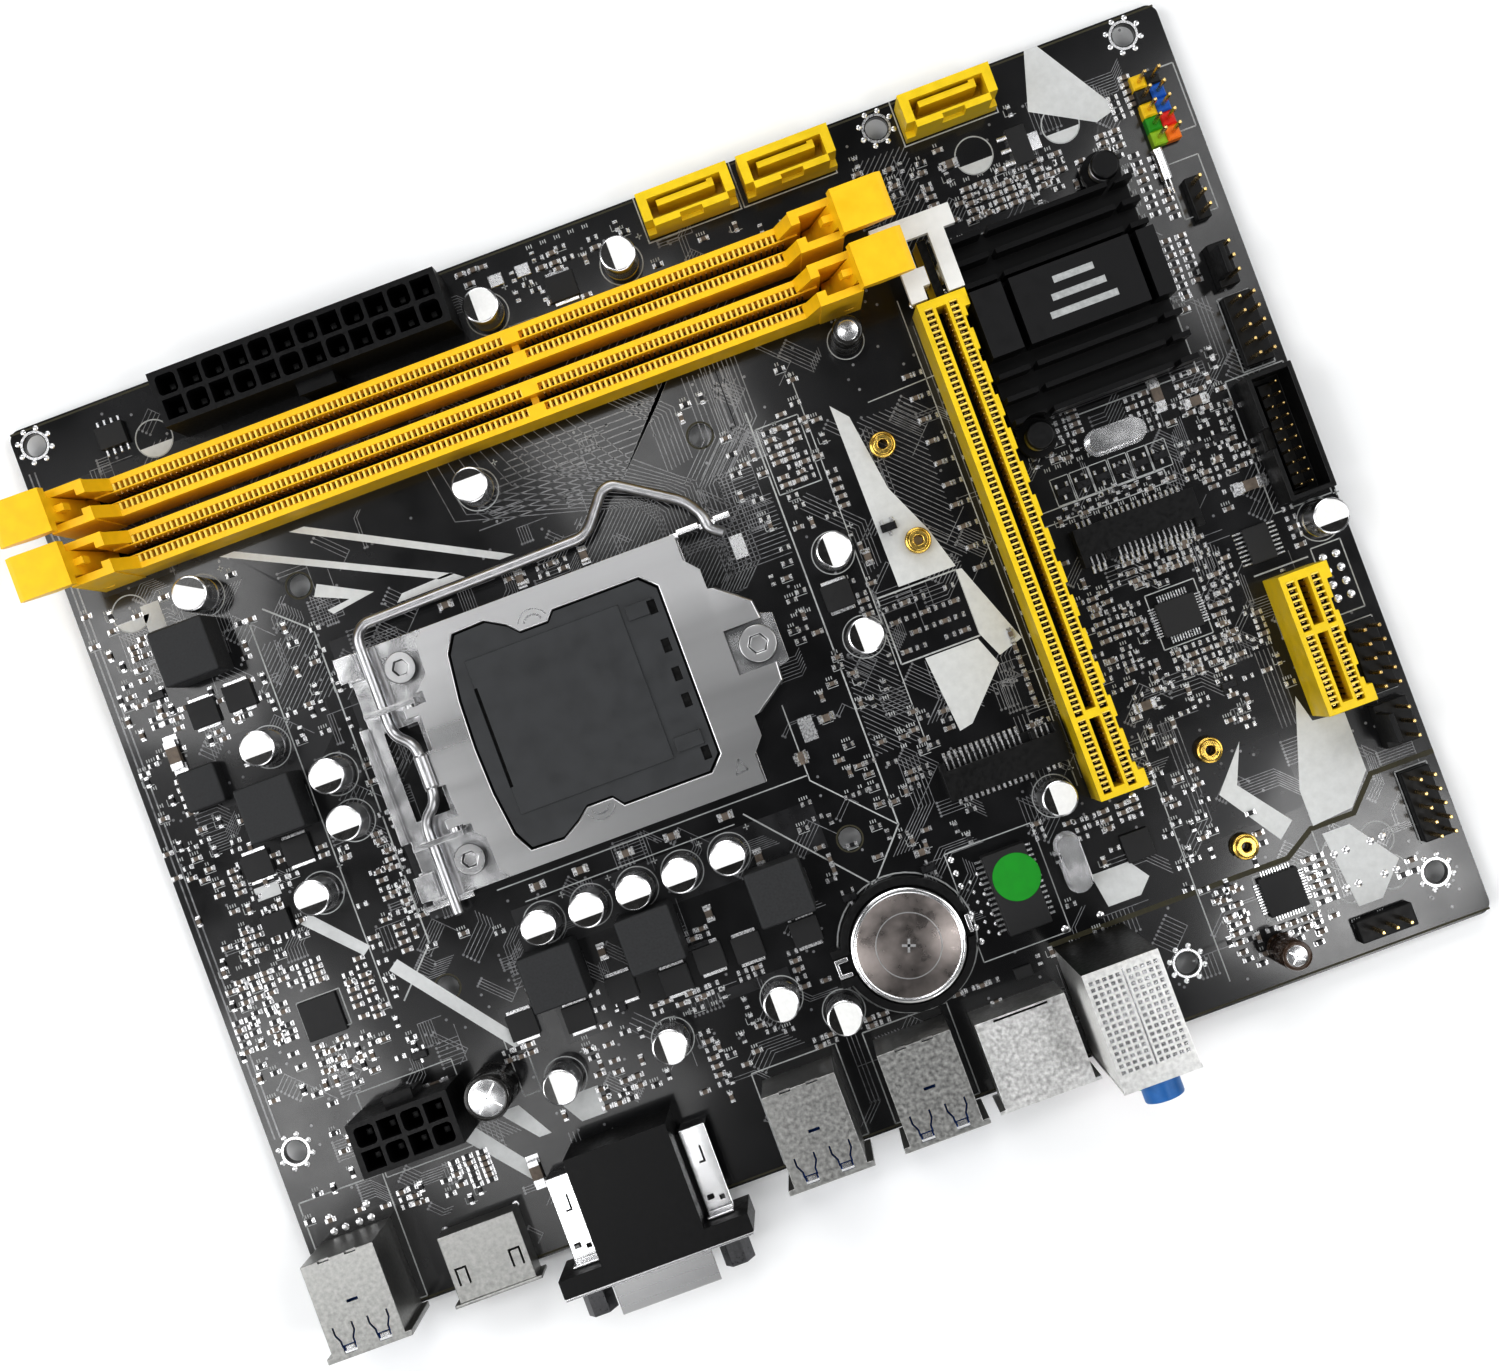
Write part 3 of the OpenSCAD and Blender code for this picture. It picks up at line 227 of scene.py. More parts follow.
class Build:
    """Collects closed solids in board millimetres and makes one piece of them."""

    def __init__(self):
        self.v, self.f, self.m = [], [], []

    def rings(self, rings, m=0):
        """A closed solid from rings of equal length, lowest first, anticlockwise from above."""
        n, b = len(rings[0]), len(self.v)
        for r in rings:
            self.v += [row(*p) for p in r]
        self.f.append([b + n - 1 - i for i in range(n)])
        self.f.append([b + n * (len(rings) - 1) + i for i in range(n)])
        for k in range(len(rings) - 1):
            for i in range(n):
                j = (i + 1) % n
                self.f.append([b + n * k + i, b + n * k + j, b + n * (k + 1) + j,
                        b + n * (k + 1) + i])
        self.m += [m] * (2 + n * (len(rings) - 1))

    def prism(self, pts, z0, z1, m=0):
        area = sum(a[0] * b[1] - b[0] * a[1] for a, b in zip(pts, pts[1:] + pts[:1]))
        pts = pts if area > 0 else pts[::-1]
        self.rings([[(x, y, z) for x, y in pts] for z in (z0, z1)], m)

    def box(self, x, y, z0, z1, sx, sy, turn=0.0, m=0, chamfer=0.0):
        c, s = math.cos(math.radians(turn)), math.sin(math.radians(turn))
        def ring(z, cut):
            a, b = sx / 2 - cut, sy / 2 - cut
            return [(x + u * c - v * s, y + u * s + v * c, z) for u,
                    v in ((-a, -b), (a, -b), (a, b), (-a, b))]
        if chamfer:
            self.rings([ring(z0, 0), ring(z1 - chamfer, 0), ring(z1, chamfer)], m)
        else:
            self.rings([ring(z0, 0), ring(z1, 0)], m)

    def turned(self, x, y, profile, n=24, m=0):
        """A solid of revolution about a vertical line, from (radius, z) pairs, lowest first."""
        self.rings([[(x + r * math.cos(2 * math.pi * i / n), y + r * math.sin(2 * math.pi * i / n),
                      z)
                     for i in range(n)] for r, z in profile], m)

    def ring(self, x, y, r0, r1, z0, z1, n=24, m=0, start=0.0, sweep=360.0):
        """A flat ring, or an arc of one."""
        full = sweep >= 360
        steps = n if full else n + 1
        ang = [math.radians(start + sweep * i / n) for i in range(steps)]
        b = len(self.v)
        for a in ang:
            for r, z in ((r0, z0), (r1, z0), (r1, z1), (r0, z1)):
                self.v.append(row(x + r * math.cos(a), y + r * math.sin(a), z))
        for i in range(n):
            j = (i + 1) % steps
            for k in range(4):
                l = (k + 1) % 4
                self.f.append([b + 4 * i + k, b + 4 * i + l, b + 4 * j + l, b + 4 * j + k])
                self.m.append(m)
        if not full:
            self.f += [[b + 3, b + 2, b + 1, b], [b + 4 * n + k for k in range(4)]]
            self.m += [m, m]

    def ribbon(self, pts, w, z0, z1, m=0):
        """A flat line with mitred corners."""
        left, right = [], []
        for i, p in enumerate(pts):
            a = Vector(pts[max(i - 1, 0)])
            b = Vector(pts[min(i + 1, len(pts) - 1)])
            here = Vector(p)
            u = (here - a).normalized() if i else (b - here).normalized()
            v = (b - here).normalized() if i < len(pts) - 1 else u
            n = Vector((-(u + v).y, (u + v).x))
            n = n.normalized() if n.length > 1e-6 else Vector((-u.y, u.x))
            k = w / 2 / max(0.35, n.dot(Vector((-u.y, u.x))))
            left.append(tuple(here + n * k))
            right.append(tuple(here - n * k))
        self.prism(right + left[::-1], z0, z1, m)

    def tube(self, pts, r, n=10, m=0, ends=0.6):
        """A round wire through 3-D points, with slightly rounded ends."""
        pts = [Vector(p) for p in pts]
        first, last = (pts[0] - pts[1]).normalized(), (pts[-1] - pts[-2]).normalized()
        pts = [pts[0], pts[0] - first * r * 0.3] + pts[1:-1] + [pts[-1] - last * r * 0.3, pts[-1]]
        radii = [r * ends] + [r] * (len(pts) - 2) + [r * ends]
        side, rings = None, []
        for i, p in enumerate(pts):
            t = (pts[min(i + 1, len(pts) - 1)] - pts[max(i - 1, 0)]).normalized()
            if side is None:
                side = t.cross(Vector((0, 0, 1)) if abs(t.z) < 0.9 else Vector((1, 0,
                        0))).normalized()
            side = (side - t * side.dot(t)).normalized()
            other = t.cross(side)
            turns = [2 * math.pi * k / n for k in range(n)]
            rings.append([tuple(p + (side * math.cos(a) + other * math.sin(a)) * radii[i])
                          for a in turns])
        self.rings(rings, m)

    def mesh(self, name):
        me = bpy.data.meshes.new(name)
        me.from_pydata(self.v, [], self.f)
        me.polygons.foreach_set("material_index", self.m)
        return me

    def done(self, name, slot, mats, body="board", replaces=(), angle=38):
        me = self.mesh(name)
        o = add_piece(name, me, body, mats)
        me.validate()
        shaded(me, angle)
        if replaces:
            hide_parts(*replaces)
        return o


def cut_away(me, cutter, name):
    """The mesh with the cutter's solids taken out of it."""
    o, c = bpy.data.objects.new(name, me), bpy.data.objects.new("cutter", cutter.mesh("cutter"))
    for x in (o, c):
        bpy.context.scene.collection.objects.link(x)
    mod = o.modifiers.new("cut", "BOOLEAN")
    mod.object, mod.operation, mod.solver, mod.use_self = c, "DIFFERENCE", "EXACT", True
    done = bpy.data.meshes.new_from_object(o.evaluated_get(bpy.context.evaluated_depsgraph_get()))
    for x in (o, c):
        bpy.data.objects.remove(x)
    return done


def refined(node, mats, width=0.12, segments=2, edge_width=None, paint=None, cutter=None,
            move=None):
    """A crisp copy of a CAD node, its edges rounded, which stands for the node.

    edge_width(midpoint, direction) gives an edge's own rounding in mm, 0 to leave it sharp.
    paint(centre, normal) gives a face's material index. Both take board millimetres.
    """
    body = NODES[node]["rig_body"]
    me = NODES[node].data.copy()
    bm = bmesh.new()
    bm.from_mesh(me)
    bmesh.ops.remove_doubles(bm, verts=bm.verts, dist=2e-6)
    bmesh.ops.dissolve_limit(bm, angle_limit=math.radians(1), verts=bm.verts, edges=bm.edges)
    bm.to_mesh(me)
    bm.free()
    bm = bmesh.new()
    bm.from_mesh(me)
    if move:
        for v in bm.verts:
            v.co = row(*move(v.co.x * 1000 + ORIGIN_X, v.co.y * 1000 + ORIGIN_Y,
                             v.co.z * 1000 - TOP))
    groups = {}
    for e in bm.edges:
        if len(e.link_faces) == 2 and e.calc_face_angle(0) > math.radians(40):
            w = width
            if edge_width:
                mid = (e.verts[0].co + e.verts[1].co) * 500 + Vector((ORIGIN_X, ORIGIN_Y, -TOP))
                w = edge_width(mid, (e.verts[1].co - e.verts[0].co).normalized())
            if w:
                groups.setdefault(w, []).append(e)
    for w in sorted(groups, reverse=True):
        live = [e for e in groups[w] if e.is_valid]
        bmesh.ops.bevel(bm, geom=live, offset=w / 1000, segments=segments, profile=0.5,
                        affect="EDGES", clamp_overlap=True)
    if cutter:
        bm.to_mesh(me)
        bm.free()
        me = cut_away(me, cutter, node)
        bm = bmesh.new()
        bm.from_mesh(me)
    if paint:
        for f in bm.faces:
            c = f.calc_center_median() * 1000 + Vector((ORIGIN_X, ORIGIN_Y, -TOP))
            f.material_index = paint(c, f.normal)
    else:
        for f in bm.faces:
            f.material_index = 0
    bm.to_mesh(me)
    bm.free()
    o = add_piece("fine_" + node, me, body, mats)
    shaded(me)
    flat = o.modifiers.new("flat", "WEIGHTED_NORMAL")
    flat.keep_sharp = True
    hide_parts(node)
    return o


def keep(node, material):
    """A CAD node that stays as it is, with its finish."""
    me = NODES[node].data
    me.materials.clear()
    me.materials.append(material)


# ---------- carried-over nodes ----------

keep("back_plate_film", FILM)
keep("thermal_pad", PAD)
keep("solder_tails", SOLDER)


def base_or(z, low, high):
    """Paints faces below z with one index and the rest with another."""
    return lambda c, n: low if c.z < z else high


def floor_between(low, high):
    """Paints upward faces between two heights, such as a slot's floor, with index 1, the painted
    shade.
    """
    return lambda c, n: 1 if n.z > 0.9 and low < c.z < high else 0


refined("circuit_board", [MASK], 0.08, 1)
refined("socket_back_plate", [STEEL], 0.2)
refined("cpu_socket", [BLACK], 0.15)
# The frame screws keep nickel on their tops; their sides and undersides are painted dark steel as
# shade.
refined("frame_screws", [NICKEL, DARK_STEEL_AND_SHADE], 0.3, paint=lambda c, n: 1
        if n.z < 0.6 else 0)
# The memory slots' channel floors are painted near black as shade.
for end, middle in zip(("front", "rear"), MEMORY_Y):
    refined("memory_slot_" + end, [AMBER, RECESS_SHADE], 0.16,
            paint=lambda c, n: 1 if n.z > 0.9 and c.z < 3 and abs(c.y - middle) < 1.5 else 0)
for name in ("front_slot_left", "front_slot_right", "rear_slot_left", "rear_slot_right"):
    refined(name + "_latch", [AMBER], 0.22)
# The card slots' floors are painted near black as shade.
for name in ("graphics_slot", "short_slot"):
    refined(name, [YELLOW, RECESS_SHADE], 0.16, paint=floor_between(2, 10))
refined("graphics_slot_clip", [WHITE], 0.3)
refined("drive_ports", [YELLOW], 0.16)
# The power sockets' cell floors are painted near black as shade.
for name in ("main_power_socket", "cpu_power_socket"):
    refined(name, [BLACK, RECESS_SHADE], 0.2,
            paint=lambda c, n: 1 if n.z > 0.9 and c.z < 2 else 0)
refined("card_edge_sockets", [BLACK], 0.12)
refined("card_standoffs", [BRASS], 0.25)
refined("chipset", [CHIP], 0.1)
refined("chipset_heatsink", [ANODISED, ANODISED_FACE], 0.15,
        paint=lambda c, n: 1 if n.z > 0.9 and c.z > 11.8 else 0)
refined("heatsink_pins", [BLACK], 0.6, 3)
refined("battery_holder", [BLACK], 0.25)
refined("battery_clip", [BRIGHT], 0.12)
refined("usb_tongues", [BLUE], 0.15)
refined("display_port_tongue", [BLACK], 0.12)
refined("video_port_body", [BLACK], 0.4)
refined("video_port_nuts", [DARK_STEEL_AND_SHADE], 0.35)
refined("network_jack_insert", [BLACK], 0.1)
refined("network_transformer", [CHIP], 0.25)
refined("audio_body", [BLACK], 0.15)
refined("audio_jacks", JACKS, 0.3,
        paint=lambda c, n: min(2, max(0, int((c.z - 1.1) // 10.6))))
refined("power_inductors", [FERRITE, SOLDER], 0.45, 3,
        edge_width=lambda p, d: 0.45 if p.z > 1 else 0,
        paint=lambda c, n: 1 if 0.35 < c.z < 0.85 and n.x ** 2 > 0.9 and n.z < 0.1 else 0)
refined("power_transistors", [CHIP, SOLDER], 0.1, paint=base_or(0.36, 1, 0))
refined("control_chips", [CHIP], 0.12)
refined("voltage_regulator", [CHIP, SOLDER], 0.12, paint=base_or(0.62, 1, 0))
refined("crystals", [BRIGHT], 0.4, 3)
refined("usb_headers", [BLACK], 0.25)
refined("shrouded_header", [BLACK], 0.2)
refined("fan_headers", [BLACK], 0.2)
refined("header_pins", [GOLD], 0.14, 1)
blocks = Build()
for j, pair in enumerate(((5, 6), (3, 4), (0, 1), (2, 1), (0, 2))):
    for i in (0, 1):
        blocks.box(207.4 + (i - 0.5) * 2.54, 150.3 + (j - 2) * 2.54, 0, 2.5, 2.5, 2.5, m=pair[i],
                   chamfer=0.3)
blocks.done("panel_header_blocks", "panel_plastic", PANEL, replaces=["panel_header"])

# The processor cover, its outline crisp and its face with a soft moulded sheen; its low faces by
# the load plate's edges are painted near black as shade
refined("socket_cap", [CAP_GREY, RECESS_SHADE], 0.16,
        paint=lambda c, n: 1 if n.z > 0.9 and c.z < 6 and (c.x > 95 or c.x < 63.2) else 0)

# The stamped plate: rolled outer edges, small rounding elsewhere
def plate_edge(p, d):
    inside_window = 58.5 < p.x < 98.8 and 67 < p.y < 108
    if p.z > 6.3 and not inside_window:
        return 1.1 if p.x < 106.2 else 0.5
    return 0.35 if p.z > 6.3 else 0.2


refined("load_plate", [NICKEL], 0.2, 4, edge_width=plate_edge)
refined("load_frame", [BRIGHT], 0.2, 2)
stamp = Build()
for cx, cy, start in ((76, 103.9, 20), (75.8, 71.1, 200)):
    stamp.ring(cx, cy, 1.5, 1.85, 6.4, 6.6, 20, 0, start, 140)
    stamp.ring(cx, cy, 2.6, 2.8, 6.4, 6.56, 24, 0, start, 140)
for a, b in (((99.6, 67.6), (101.8, 67.8)), ((101.8, 67.8), (100.8, 70)),
             ((100.8, 70), (99.6, 67.6))):
    stamp.ribbon([a, b], 0.3, 6.4, 6.58)
stamp.done("load_plate_stamps", "nickel", [BRIGHT], body="load_plate")

# Sheet-metal connector shells, with the spring cuts in their top faces
usb_cut, USB_X = Build(), (9.1, 91.5, 112)
for x in USB_X:
    for s in (-1, 1):
        cx = x + s * 3.1
        usb_cut.ribbon([(cx - 1.7, 4.6), (cx - 1.7, 3.2), (cx - 1.1, 2.0), (cx - 1.1, 0.9)], 0.3,
                       14.9, 16)
        usb_cut.ribbon([(cx + 1.7, 4.6), (cx + 1.7, 3.2), (cx + 1.1, 2.0), (cx + 1.1, 0.9)], 0.3,
                       14.9, 16)
        usb_cut.box(cx, 0.5, 14.9, 16, 2.3, 1.5)
        usb_cut.box(x + s * 2.4, 15.8, 14.9, 16, 2, 0.7)
    usb_cut.box(x, 8.0, 14.9, 16, 2.0, 0.5)
refined("usb_shells", [SATIN], 0.14, cutter=usb_cut)
springs = Build()
for x in USB_X:
    for s in (-1, 1):
        springs.box(x + s * 3.1, 0.5, 14.95, 15.3, 1.7, 0.95, chamfer=0.12)
    springs.rings([[(x - 1.1, 6.7, 15.3), (x + 1.1, 6.7, 15.3), (x + 1.1, 7.75, 15.3),
                    (x - 1.1, 7.75, 15.3)],
                   [(x - 0.9, 6.8, 15.59), (x + 0.9, 6.8, 15.59), (x + 0.8, 7.7, 15.45),
                    (x - 0.8, 7.7, 15.45)]])
springs.done("usb_spring_tabs", "nickel", [BRIGHT])
port_cut = Build()
for s in (-1, 1):
    port_cut.ribbon([(30.4 + s * 4.9 - 0.9, 1.6), (30.4 + s * 4.9 - 0.9, 4.6),
                     (30.4 + s * 4.9 + 0.9, 4.6),
                     (30.4 + s * 4.9 + 0.9, 1.6)], 0.35, 5.2, 7)
refined("display_port_shell", [SATIN], 0.14, cutter=port_cut)
springs = Build()
for s in (-1, 1):
    springs.box(30.4 + s * 4.9, 2.5, 5.55, 5.98, 0.9, 1.6, chamfer=0.15)
springs.done("display_port_springs", "nickel", [BRIGHT])
clip_cut = Build()
for s in (-1, 1):
    x = 58.9 + s * 12.2
    clip_cut.ribbon([(x + 0.3, 10.2), (x + 0.3, 7.4), (x - 0.7, 7.4)], 0.32, 4.5, 6.2)
    clip_cut.box(x - 0.9, 1.2, 4.5, 6.2, 1.2, 0.9)
    clip_cut.box(x + 1.0, 0.6, 4.5, 6.2, 0.9, 0.8)
refined("video_port_clips", [BRIGHT], 0.2, cutter=clip_cut)
refined("video_port_shell", [NICKEL], 0.3, 3)
jack_cut = Build()
jack_cut.box(130.6, 14.2, 12.9, 14, 9.6, 0.35)
refined("network_jack_shell", [SHEET], 0.2, cutter=jack_cut)
# The audio shield's top is set down a little so that its dimples end at the shield's height
refined("audio_shield", [SHEET, BRIGHT, BLACK], 0.15, paint=lambda c, n: 2
        if c.y > 19.5 and c.z < 33 else 0,
        move=lambda x, y, z: (x, y, 33.42 if z > 33.5 else z))
dimples = Build()
for i in range(10):
    for j in range(15):
        x = 146.9 + (i - 4.5) * 1.12 + (0.35 if i > 4 else -0.35)
        dimples.box(x, 3.4 + j * 1.06, 33.3, 33.58, 0.72, 0.66, chamfer=0.16)
dimples.ribbon([(146.9, 3), (146.9, 19)], 0.3, 33.3, 33.5)
dimples.done("audio_shield_dimples", "nickel", [BRIGHT])

# ---------- turned and wound parts ----------

CAPS = (
    (24.3, 100.4, 270), (33.8, 91.8, 270), (33.8, 83.2, 270), (24.2, 73.2, 270), (58.9, 54.9, 270),
    (67.6, 54.9, 270), (76.2, 54.9, 270), (84.6, 54.9, 270), (93.3, 54.9, 270), (128.6, 97.8, 180),
    (128.6, 82.2, 180), (52.9, 28.1, 180), (72.9, 28.1, 180), (93.2, 28.3, 180),
    (102.6, 22.4, 180), (149.8, 44.8, 180), (209.4, 73.8, 270), (74.2, 129.9, 90),
    (86.6, 158, 180), (111.6, 158, 180), (22.6, 129.3, 60))
cans = Build()
for x, y, toward in CAPS:
    cans.turned(x, y, [(3.15, 0), (3.15, 1.2), (2.92, 1.45), (2.92, 1.85), (3.15, 2.15),
                       (3.15, 8.1),
                       (3.05, 8.4), (2.8, 8.56), (2.5, 8.6)], 32)
    # the printed top: a pale disc with a dark segment on the negative side
    chord = math.degrees(math.acos(0.42))
    arc = [math.radians(toward + chord + (360 - 2 * chord) * i / 30) for i in range(31)]
    cans.prism([(x + 2.78 * math.cos(a), y + 2.78 * math.sin(a)) for a in arc], 8.55, 8.64, 1)
    arc = [math.radians(toward - chord + 2 * chord * i / 14) for i in range(15)]
    cans.prism([(x + 2.78 * math.cos(a), y + 2.78 * math.sin(a)) for a in arc], 8.55, 8.62, 2)
cans.done("polymer_capacitor_cans", "can", [CAN, CAP_WHITE, SLEEVE],
          replaces=["polymer_capacitors"])
cans = Build()
for x, y, r, h, side, top in ((41.2, 31.2, 4, 12, 1, 0), (143.5, 131.6, 2.6, 11, 1, 3),
                              (177.6, 6.4, 2.6, 11, 2, 3)):
    cans.turned(x, y, [(r, 0), (r, 0.9), (r - 0.2, 1.2), (r - 0.2, 1.5), (r, 1.8), (r, h - 0.5),
                       (r - 0.15, h - 0.15),
                       (r - 0.5, h), (r - 0.75, h - 0.05), (r - 0.85, h - 0.3)], 32, side)
    cans.turned(x, y, [(r - 0.8, h - 0.6), (r - 0.8, h - 0.22), (r - 1, h - 0.16)], 32, 0
                if r > 3 else 3)
    for k in range(2):
        cans.box(x, y, h - 0.3, h - 0.1, 2 * r - 2.2, 0.25, turn=45 + 90 * k, m=3 if r > 3 else 0)
cans.done("vented_capacitor_cans", "sleeve", [CAN, SLEEVE, BROWN_SLEEVE, BRIGHT],
          replaces=["vented_capacitors"])

cell = Build()
cell.turned(*BATTERY_AT, [(8.9, 1.2), (9.2, 1.5), (9.2, 1.7), (9.8, 1.75), (10, 2.0), (10, 4.0),
                          (9.93, 4.22),
                          (9.72, 4.36), (9.45, 4.4), (9.2, 4.36), (9.05, 4.28)], 96)
cell.turned(*BATTERY_AT, [(9.0, 4.0), (9.0, 4.3), (8.9, 4.34)], 96, 1)
cell.ring(*BATTERY_AT, 5.6, 5.8, 4.3, 4.37, 72, 2)
for a in (0, 90):
    cell.box(*BATTERY_AT, 4.3, 4.37, 2.4, 0.45, turn=a - 20, m=2)
cell.done("battery_cell", "nickel", [BRIGHT, BATTERY, NICKEL], body="battery", replaces=["battery"])

coils = Build()
for px, py in ((194.4, 143), (168.2, 103.8)):
    turns = [(px + 2.05 * math.cos(a), py + 2.05 * math.sin(a), 4.15 + a / (2 * math.pi) * 0.68)
             for a in (math.radians(15 * i) for i in range(24 * 4 + 1))]
    coils.tube(turns, 0.3, 8)
coils.done("heatsink_spring_coils", "nickel", [WIRE], replaces=["heatsink_springs"])

LEVER = ((46.2, 61.5, 4.5), (46.2, 78.6, 4.5), (49.8, 81.4, 6.95), (49.8, 91.6, 6.95),
         (46.2, 94.6, 4.5),
         (46.2, 112.4, 4.5), (47.9, 114.4, 4.5), (89.6, 115.1, 4.5), (94.6, 121.4, 4.5),
         (96.6, 122, 4.5),
         (107.6, 114.8, 4.5), (109.7, 111.4, 4.5), (109.7, 109, 4.5), (112.2, 107.2, 4.5))


def eased(points, reach, steps=6):
    """The path with each bend replaced by a curve, from reach before it to reach after."""
    out = [Vector(points[0])]
    for a, b, c in zip(points, points[1:], points[2:]):
        a, b, c = Vector(a), Vector(b), Vector(c)
        k = min(reach, (b - a).length * 0.48, (c - b).length * 0.48)
        p, q = b + (a - b).normalized() * k, b + (c - b).normalized() * k
        out += [p.lerp(b, t).lerp(b.lerp(q, t), t) for t in (i / steps for i in range(steps + 1))]
    return out + [Vector(points[-1])]


lever = Build()
lever.tube(eased(LEVER, 2.2), 0.97, 16)
lever.tube([(49.8, 83.5, 6.95), (49.8, 84, 6.95), (49.8, 89.2, 6.95), (49.8, 89.7, 6.95)], 1.2, 16,
           ends=0.85)
lever.done("load_lever_wire", "steel", [WIRE], body="load_lever", replaces=["load_lever"], angle=50)

# ---------- contacts ----------

ribs, gold = Build(), Build()
for y in MEMORY_Y:
    for j in (-1, 1):
        for x0, x1 in ((16.1, 88.1), (91.1, 139.1)):
            n = int(x1 - x0)
            for i in range(n):
                x = x0 + 0.5 + i
                ribs.box(x + 0.5, y + j * 1.75, 8.2, 9.44, 0.42, 1.3, chamfer=0.06)
                gold.box(x, y + j * 1.6, 7.9, 8.3, 0.22, 0.6)
                gold.box(x, y + j * 0.74, 3.4, 7.6, 0.28, 0.2)
ribs.done("memory_slot_combs", "amber_plastic", [RIB])
gold.done("memory_slot_contacts", "gold", [GOLD])
ribs, gold = Build(), Build()
for x, y0, length in ((159.6, 42.1, 89.3), (200.4, 42.2, 25)):
    for a, b in ((1.0, 14.1), (14.8, length - 1.3)):
        n = int(b - a)
        for i in range(n):
            y = y0 + a + 0.5 + i * (b - a) / n
            for s in (-1, 1):
                ribs.box(x + s * 2.2, y + 0.45, 9.8, 11.15, 1.4, 0.36, chamfer=0.06)
                gold.box(x + s * 2.1, y, 9.5, 9.85, 0.6, 0.22)
                gold.box(x + s * 0.8, y, 3.6, 8.6, 0.16, 0.26)
ribs.done("card_slot_combs", "yellow_plastic", [RIB])
gold.done("card_slot_contacts", "gold", [GOLD])

leads = Build()
for x, y, turn in ((143.6, 53.6, 1), (179.1, 83.3, -1)):
    for k in range(19):
        if k in (14, 15):
            continue
        u = x + turn * (-9.3 + k * 1.02)
        leads.box(u, y + turn * 4.1, 0, 0.35, 0.55, 1.5, chamfer=0.06)
        leads.box(u, y - turn * 4.0, 0, 0.3, 0.55, 1.2, chamfer=0.06)
        leads.box(u, y + turn * 2.4, 1.1, 1.45, 0.3, 2.6)
for s in (-1, 1):
    for i in range(8):
        leads.box(198.2 + s * 3.0, 70.7 + i * 0.8, 0, 0.35, 1.7, 0.34, chamfer=0.05)
    for i in range(11):
        leads.box(181 + s * 4.2, 64.2 + i * 0.5, 0, 0.3, 1.2, 0.24)
        leads.box(178.5 + i * 0.5, 66.7 + s * 3.7, 0, 0.3, 0.24, 1.2)
        leads.box(181.1 + s * 4.0, 13 + i * 0.5, 0, 0.3, 1.0, 0.24)
        leads.box(178.6 + i * 0.5, 15.5 + s * 4.0, 0, 0.3, 0.24, 1.0)
    for i in range(4):
        leads.box(15.6 + i * 1.27, 161.1 + s * 2.6, 0, 0.35, 0.45, 1.2, chamfer=0.05)
        leads.box(13.1 + i * 1.27, 71 + s * 2.6, 0, 0.35, 0.45, 1.2, chamfer=0.05)
    for i in range(14):
        leads.box(137.9 + s * 4.5, 25.9 + i * 0.97, 0, 0.35, 1.3, 0.42, chamfer=0.05)
leads.done("surface_leads", "solder", [SOLDER])

sticker = Build()
sticker.turned(138.6, 34.3, [(4.15, 3.88), (4.2, 3.93), (4.15, 3.98)], 48)
sticker.done("round_sticker", "panel_plastic", [GREEN_DOT])

# ---------- small surface parts ----------

small = Build()       # ceramic 0, resistor 1, solder 2


def two_terminal(x, y, length, width, height, along_y=False, m=0):
    """A two-terminal part: a body between two tinned ends."""
    def lie(along, across):
        return (across, along) if along_y else (along, across)

    end = length * 0.24
    for s in (-1, 1):
        dx, dy = lie(s * (length - end) / 2, 0)
        small.box(x + dx, y + dy, 0, height, *lie(end, width), m=2, chamfer=0.06)
        small.box(x + dx * 1.35, y + dy * 1.35, 0, 0.07, *lie(end * 1.5, width * 1.15), m=2)
    small.box(x, y, 0.02, height * 0.94, *lie(length - 2 * end + 0.04, width * 0.96), m=m)


def group(x0, y0, x1, y1, columns, rows, along_y=False, chance=1.0):
    """A grid of small parts inside the rectangle, some places left empty."""
    for i in range(columns):
        for j in range(rows):
            if rng.random() > chance:
                continue
            x = x0 + (i + 0.5) * (x1 - x0) / columns + rng.uniform(-0.06, 0.06)
            y = y0 + (j + 0.5) * (y1 - y0) / rows + rng.uniform(-0.06, 0.06)
            if rng.random() < 0.55:
                two_terminal(x, y, 1.55, 0.8, 0.75, along_y, 0)
            else:
                two_terminal(x, y, 1.45, 0.8, 0.42, along_y, 1)


